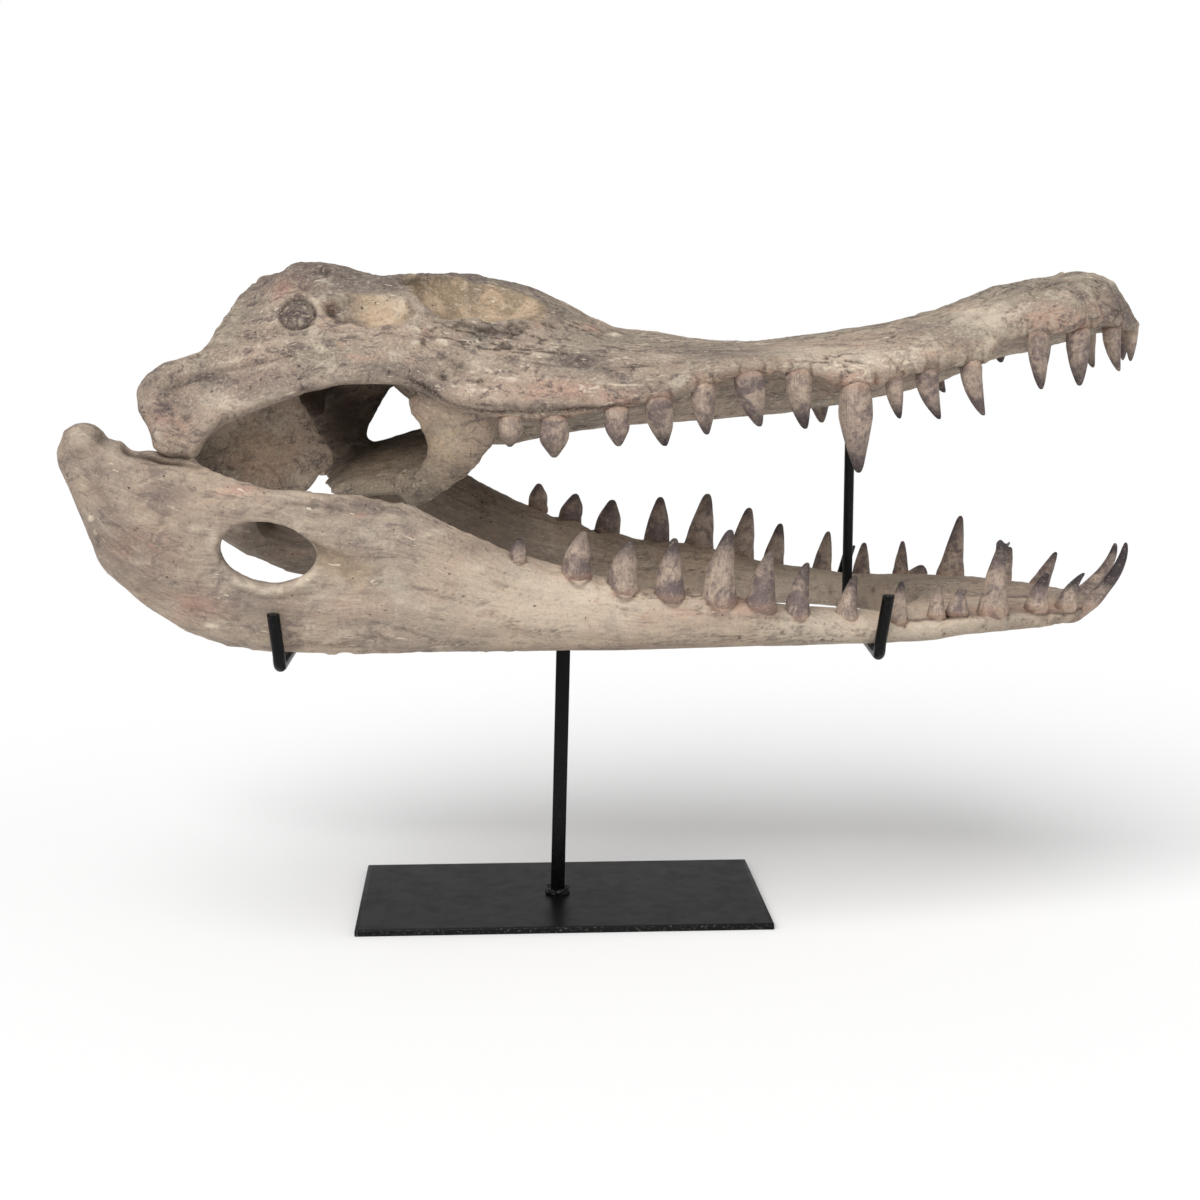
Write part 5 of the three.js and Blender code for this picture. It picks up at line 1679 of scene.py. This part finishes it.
@dataclass
class Stand:
    """The black steel stand: plate, post, spine, two hooked cross bars and the rod to the palate."""

    plate: tuple = (288.0, 160.0, 4.5)
    plate_centre: tuple = (2.8, -3.3)
    plate_turn: float = 2.0
    bar: float = 10.0
    spine_top: float = 207.0
    lean: float = 1.5
    gap: float = 0.3
    weld: float = 5.0
    hook_radius: float = 4.0
    hook_bend: float = 7.0
    hook_tip: float = 237.0
    left_lean: float = 1.9
    hook_corners: int = 20
    rod_corners: int = 24
    edge: float = 1.0
    bead_share: float = 0.72
    bead_length: float = 15.0
    bead_voxel: float = 0.55
    hooks: tuple = (("rear", -174.0, 206.6, 158.6, -3.0), ("front", 214.0, 200.1, 99.0, 5.0))
    rod: tuple = (206.5, 3.5)
    slot: str = "black_paint"

    def wear(self, piece: bpy.types.Object, worn: np.ndarray, dustless: float = 1.0) -> None:
        """Note where the paint is rubbed, and how free of dust it is."""
        clean = np.full(len(worn), dustless)
        Clay(piece).note("worn", np.column_stack([worn, clean, np.zeros(len(worn))]))

    def dress(self, piece: bpy.types.Object, name: str, node: str, finish: bpy.types.Material) -> None:
        """Name, paint and tie a piece of the stand."""
        piece.name = name
        piece.data.name = name
        Bench.dress(piece, finish, self.slot, node)

    def box(self, low: tuple, high: tuple, ease: float) -> bpy.types.Object:
        """Add a block between two corners, in millimetres, with eased edges.

        Args:
            low: Lowest corner.
            high: Highest corner.
            ease: Size of the rounding.

        Returns:
            The block, in object mode.
        """
        Bench.clear()
        centre = [(a + b) / 2 * MM for a, b in zip(low, high)]
        bpy.ops.mesh.primitive_cube_add(size=1, location=centre)
        block = bpy.context.object
        block.scale = [(b - a) * MM for a, b in zip(low, high)]
        Bench.settle()
        Bench.edit()
        bpy.ops.mesh.select_all(action="SELECT")
        Bench.ease(ease)
        Bench.leave()
        return block

    def base_plate(self, finish: bpy.types.Material) -> None:
        """Make the flat plate with eased edges."""
        length, width, thick = self.plate
        block = self.box((-length / 2, -width / 2, 0), (length / 2, width / 2, thick), 0.9)
        Bench.pick(block)
        Bench.edit()
        top = thick * MM - 1e-5
        Bench.select(block, "FACE", lambda f: f.center.z > top)
        bpy.ops.mesh.inset(thickness=3 * MM)
        bpy.ops.mesh.subdivide(number_cuts=14)
        Bench.leave()
        clay = Clay(block)
        edge = np.minimum(length / 2 - np.abs(clay.points[:, 0]), width / 2 - np.abs(clay.points[:, 1]))
        self.wear(block, 0.45 * smooth_step(edge, 0.9, 0.1), 0.15)
        block.rotation_euler = (0, 0, math.radians(self.plate_turn))
        block.location = (self.plate_centre[0] * MM, self.plate_centre[1] * MM, 0)
        Bench.finish(block, 35)
        self.dress(block, "base_plate", "stand_base", finish)

    def post(self, finish: bpy.types.Material) -> None:
        """Make the leaning square post with its weld bead."""
        foot = self.plate[2] + self.gap
        head = self.spine_top + self.lift(0) - self.bar - 2 * self.gap
        half = self.bar / 2
        block = self.box((-half, -half, foot), (half, half, head), self.edge)
        clay = Clay(block)
        clay.points[:, 0] += (clay.points[:, 2] - foot) * math.tan(math.radians(self.lean))
        clay.store()
        beads = []
        Bench.clear()
        for k in range(4):
            lengthwise = k % 2 == 0
            side = (1 if k < 2 else -1) * half * MM
            turn = (0, math.pi / 2, 0) if lengthwise else (math.pi / 2, 0, 0)
            place = (0, side, foot * MM) if lengthwise else (side, 0, foot * MM)
            bpy.ops.mesh.primitive_cylinder_add(
                vertices=16, radius=self.weld * self.bead_share * MM, depth=self.bead_length * MM,
                rotation=turn, location=place)
            beads.append(bpy.context.object)
            Bench.settle()
            Bench.clear()
        bead = Bench.join(beads)
        Bench.modifier(bead, "REMESH", mode="VOXEL", voxel_size=self.bead_voxel * MM)
        lump = Clay(bead)
        lump.relax(6)
        lump.push(1.1 * Grain.layered(lump.points, (3.4, 3.4, 3.0), 3, 83))
        lump.points[:, 2] = np.maximum(lump.points[:, 2], foot)
        lump.store()
        Bench.join([block, bead])
        Bench.finish(block, 40)
        clay = Clay(block)
        self.wear(block, 0.12 * smooth_step(clay.points[:, 2], foot + 12, foot + 2))
        self.dress(block, "post_bar", "stand_post", finish)

    def lift(self, y: float) -> float:
        """Tell how far the roll of the lower jaw lifts what lies at y."""
        return (y - ROLL_Y) * math.sin(math.radians(ROLL_DEG))

    def spine(self, finish: bpy.types.Material) -> None:
        """Make the bar along the middle."""
        half = self.bar / 2
        rear = self.hooks[0][1] + self.hook_radius + self.gap
        front = self.hooks[1][1] - self.hook_radius - self.gap
        top = self.spine_top
        block = self.box((rear, -half, top - self.bar), (front, half, top), self.edge)
        clay = Clay(block)
        clay.points = roll(clay.points)
        clay.store()
        self.wear(block, np.full(len(clay.points), 0.05))
        Bench.finish(block, 35)
        self.dress(block, "spine_bar", "stand_spine", finish)

    def cross_bar(self, name: str, x: float, bottom: float, outer: float, lean: float,
                  finish: bpy.types.Material) -> None:
        """Bend one round bar into a cross bar with an upturned finger at each end.

        Args:
            name: rear or front.
            x: Its place along the skull.
            bottom: Height of the jaw's lower edge there.
            outer: How far out the jaw reaches there.
            lean: How far forward the tips of the fingers lie.
            finish: Its material.
        """
        r = self.hook_radius
        level = bottom - r - self.gap
        reach = outer + r + 1
        bend = self.hook_bend
        bar = Bench.disc(self.hook_corners, r * MM, (x * MM, -reach * MM, self.hook_tip * MM))
        self.draw(0, 0, -(self.hook_tip - level - bend), 6)
        self.swing((x, -reach + bend, level + bend))
        self.draw(0, 2 * (reach - bend), 0, 24)
        self.swing((x, reach - bend, level + bend))
        self.draw(0, 0, self.hook_tip - level - bend, 6)
        Bench.leave()
        Bench.finish(bar)
        Bench.pick(bar)
        Bench.edit()
        end = (self.hook_tip - 0.01) * MM
        Bench.select(bar, "FACE", lambda f: f.center.z > end and abs(f.normal.z) > 0.9)
        Bench.ease(0.7)
        Bench.leave()
        clay = Clay(bar)
        high = smooth_step(clay.points[:, 2], self.hook_tip - 3, self.hook_tip - 0.5)
        up = np.maximum(clay.points[:, 2] - level - bend, 0) / (self.hook_tip - level - bend)
        clay.points[:, 0] += lean * up * np.where(clay.points[:, 1] > 0, self.left_lean, 1.0)
        clay.points = roll(clay.points)
        clay.store()
        self.wear(bar, np.clip(0.06 + 0.45 * high, 0, 1))
        Bench.finish(bar, 50)
        self.dress(bar, f"cross_bar_{name}", f"stand_cross_{name}", finish)

    def draw(self, dx: float, dy: float, dz: float, steps: int) -> None:
        """Extrude the selected end face along a straight stretch, in millimetres."""
        for _ in range(steps):
            bpy.ops.mesh.extrude_region_move(
                TRANSFORM_OT_translate={"value": (dx / steps * MM, dy / steps * MM, dz / steps * MM)})

    def swing(self, centre: tuple) -> None:
        """Bend the bar through a quarter turn about a centre, in the plane across the skull."""
        bpy.ops.mesh.spin(steps=8, dupli=False, angle=-math.pi / 2,
                          center=[c * MM for c in centre], axis=(1, 0, 0))

    def jaw_rod(self, finish: bpy.types.Material) -> None:
        """Make the thin rod up to the palate."""
        x, radius = self.rod
        low = self.spine_top + self.lift(0) + 2 * self.gap
        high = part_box("stand_jaw_rod")[1][2] / MM
        rod = Bench.disc(self.rod_corners, radius * MM, (x * MM, 0, low * MM))
        self.draw(0, 0, high - low, 12)
        Bench.leave()
        Bench.finish(rod)
        Bench.pick(rod)
        Bench.edit()
        Bench.select(rod, "FACE", lambda f: abs(f.normal.z) > 0.9)
        Bench.ease(0.5)
        Bench.leave()
        self.wear(rod, np.full(len(rod.data.vertices), 0.1))
        Bench.finish(rod, 50)
        self.dress(rod, "jaw_rod", "stand_jaw_rod", finish)

    def build(self, finish: bpy.types.Material) -> None:
        """Make all the steel.

        Args:
            finish: The paint.
        """
        self.base_plate(finish)
        self.post(finish)
        self.spine(finish)
        for name, x, bottom, outer, lean in self.hooks:
            self.cross_bar(name, x, bottom, outer, lean, finish)
        self.jaw_rod(finish)


# ---------------------------------------------------------------- studio


@dataclass
class Studio:
    """Floor, lights and camera."""

    eye: tuple = (0.00268, -1.40349, 0.43236)
    pitch: float = 8.67
    yaw: float = 1.15
    lens: float = 60.0
    sensor: float = 36.0
    floor_radius: float = 9.0
    suns: tuple = (
        # direction it comes from, strength, softness in degrees
        ((-0.55, -1.0, 1.25), 2.7, 55), ((1.2, -1.0, 0.5), 0.55, 70),
    )
    sky: float = 0.42
    seen_sky: float = 1.0

    def camera(self) -> None:
        """Place the camera."""
        bpy.ops.object.camera_add(location=self.eye, rotation=(
            math.radians(90 - self.pitch), 0, math.radians(-self.yaw)))
        camera = bpy.context.object
        camera.data.lens = self.lens
        camera.data.sensor_width = self.sensor
        bpy.context.scene.camera = camera

    def light(self) -> None:
        """Place the lamps and a pale sky."""
        for way, strength, softness in self.suns:
            bpy.ops.object.light_add(type="SUN", location=Vector(way) * 2)
            lamp = bpy.context.object
            lamp.rotation_euler = Vector(way).to_track_quat("Z", "Y").to_euler()
            lamp.data.energy = strength
            lamp.data.angle = math.radians(softness)
        world = bpy.data.worlds.new("pale_sky")
        world.use_nodes = True
        tree = world.node_tree
        plain = tree.nodes["Background"]
        plain.inputs["Color"].default_value = (1, 1, 1, 1)
        plain.inputs["Strength"].default_value = self.sky
        seen = tree.nodes.new("ShaderNodeBackground")
        seen.inputs["Strength"].default_value = self.seen_sky
        seen.inputs["Color"].default_value = (1, 1, 1, 1)
        path = tree.nodes.new("ShaderNodeLightPath")
        both = tree.nodes.new("ShaderNodeMixShader")
        tree.links.new(path.outputs["Is Camera Ray"], both.inputs[0])
        tree.links.new(plain.outputs[0], both.inputs[1])
        tree.links.new(seen.outputs[0], both.inputs[2])
        tree.links.new(both.outputs[0], tree.nodes["World Output"].inputs["Surface"])
        bpy.context.scene.world = world
        bpy.context.scene.view_settings.view_transform = "Standard"

    def floor(self) -> None:
        """Lay the round floor."""
        Bench.clear()
        bpy.ops.mesh.primitive_circle_add(vertices=96, radius=self.floor_radius, fill_type="NGON")
        ground = bpy.context.object
        ground.name = "floor"
        ground.data.materials.append(PaleFloor().make())

    def build(self) -> None:
        """Set the scene."""
        self.camera()
        self.light()
        self.floor()


def main() -> None:
    """Build the skull, its teeth, its stand and the studio."""
    logging.basicConfig(level=logging.INFO, format="%(message)s")
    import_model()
    Studio().build()
    Stand().build(BlackPaint("black_paint").make())
    skull_finish = WeatheredBone(
        "cranium_cast", warm=paint(169, 149, 132), cool=paint(139, 129, 114), streaks=0.35, mottle=0.95,
        speckle=1.0)
    jaw_finish = WeatheredBone(
        "jaw_cast", warm=paint(181, 161, 141), cool=paint(154, 140, 126), streaks=0.55, mottle=0.55,
        speckle=0.45)
    enamel = ToothEnamel("tooth_cast").make()
    Cranium("cranium_cast", "cranium", "cranium_cast").build(skull_finish.make())
    cast = jaw_finish.make()
    for side in Side:
        word = side.name.lower()
        JawHalf(f"jaw_{word}_cast", f"mandible_{word}", "jaw_cast", side=side).build(cast)
    ToothSet("upper_teeth", Jaw.UPPER, tuple(Side), "cranium_cast", seed=3).build(enamel)
    for side, seed in ((Side.RIGHT, 4), (Side.LEFT, 5)):
        name = f"lower_teeth_{side.name.lower()}"
        ToothSet(name, Jaw.LOWER, (side,), "jaw_cast", seed=seed, outline=WIDE_ROOT).build(enamel)
    Bench.clear()
    bpy.context.view_layer.update()


if __name__ == "__main__":
    main()
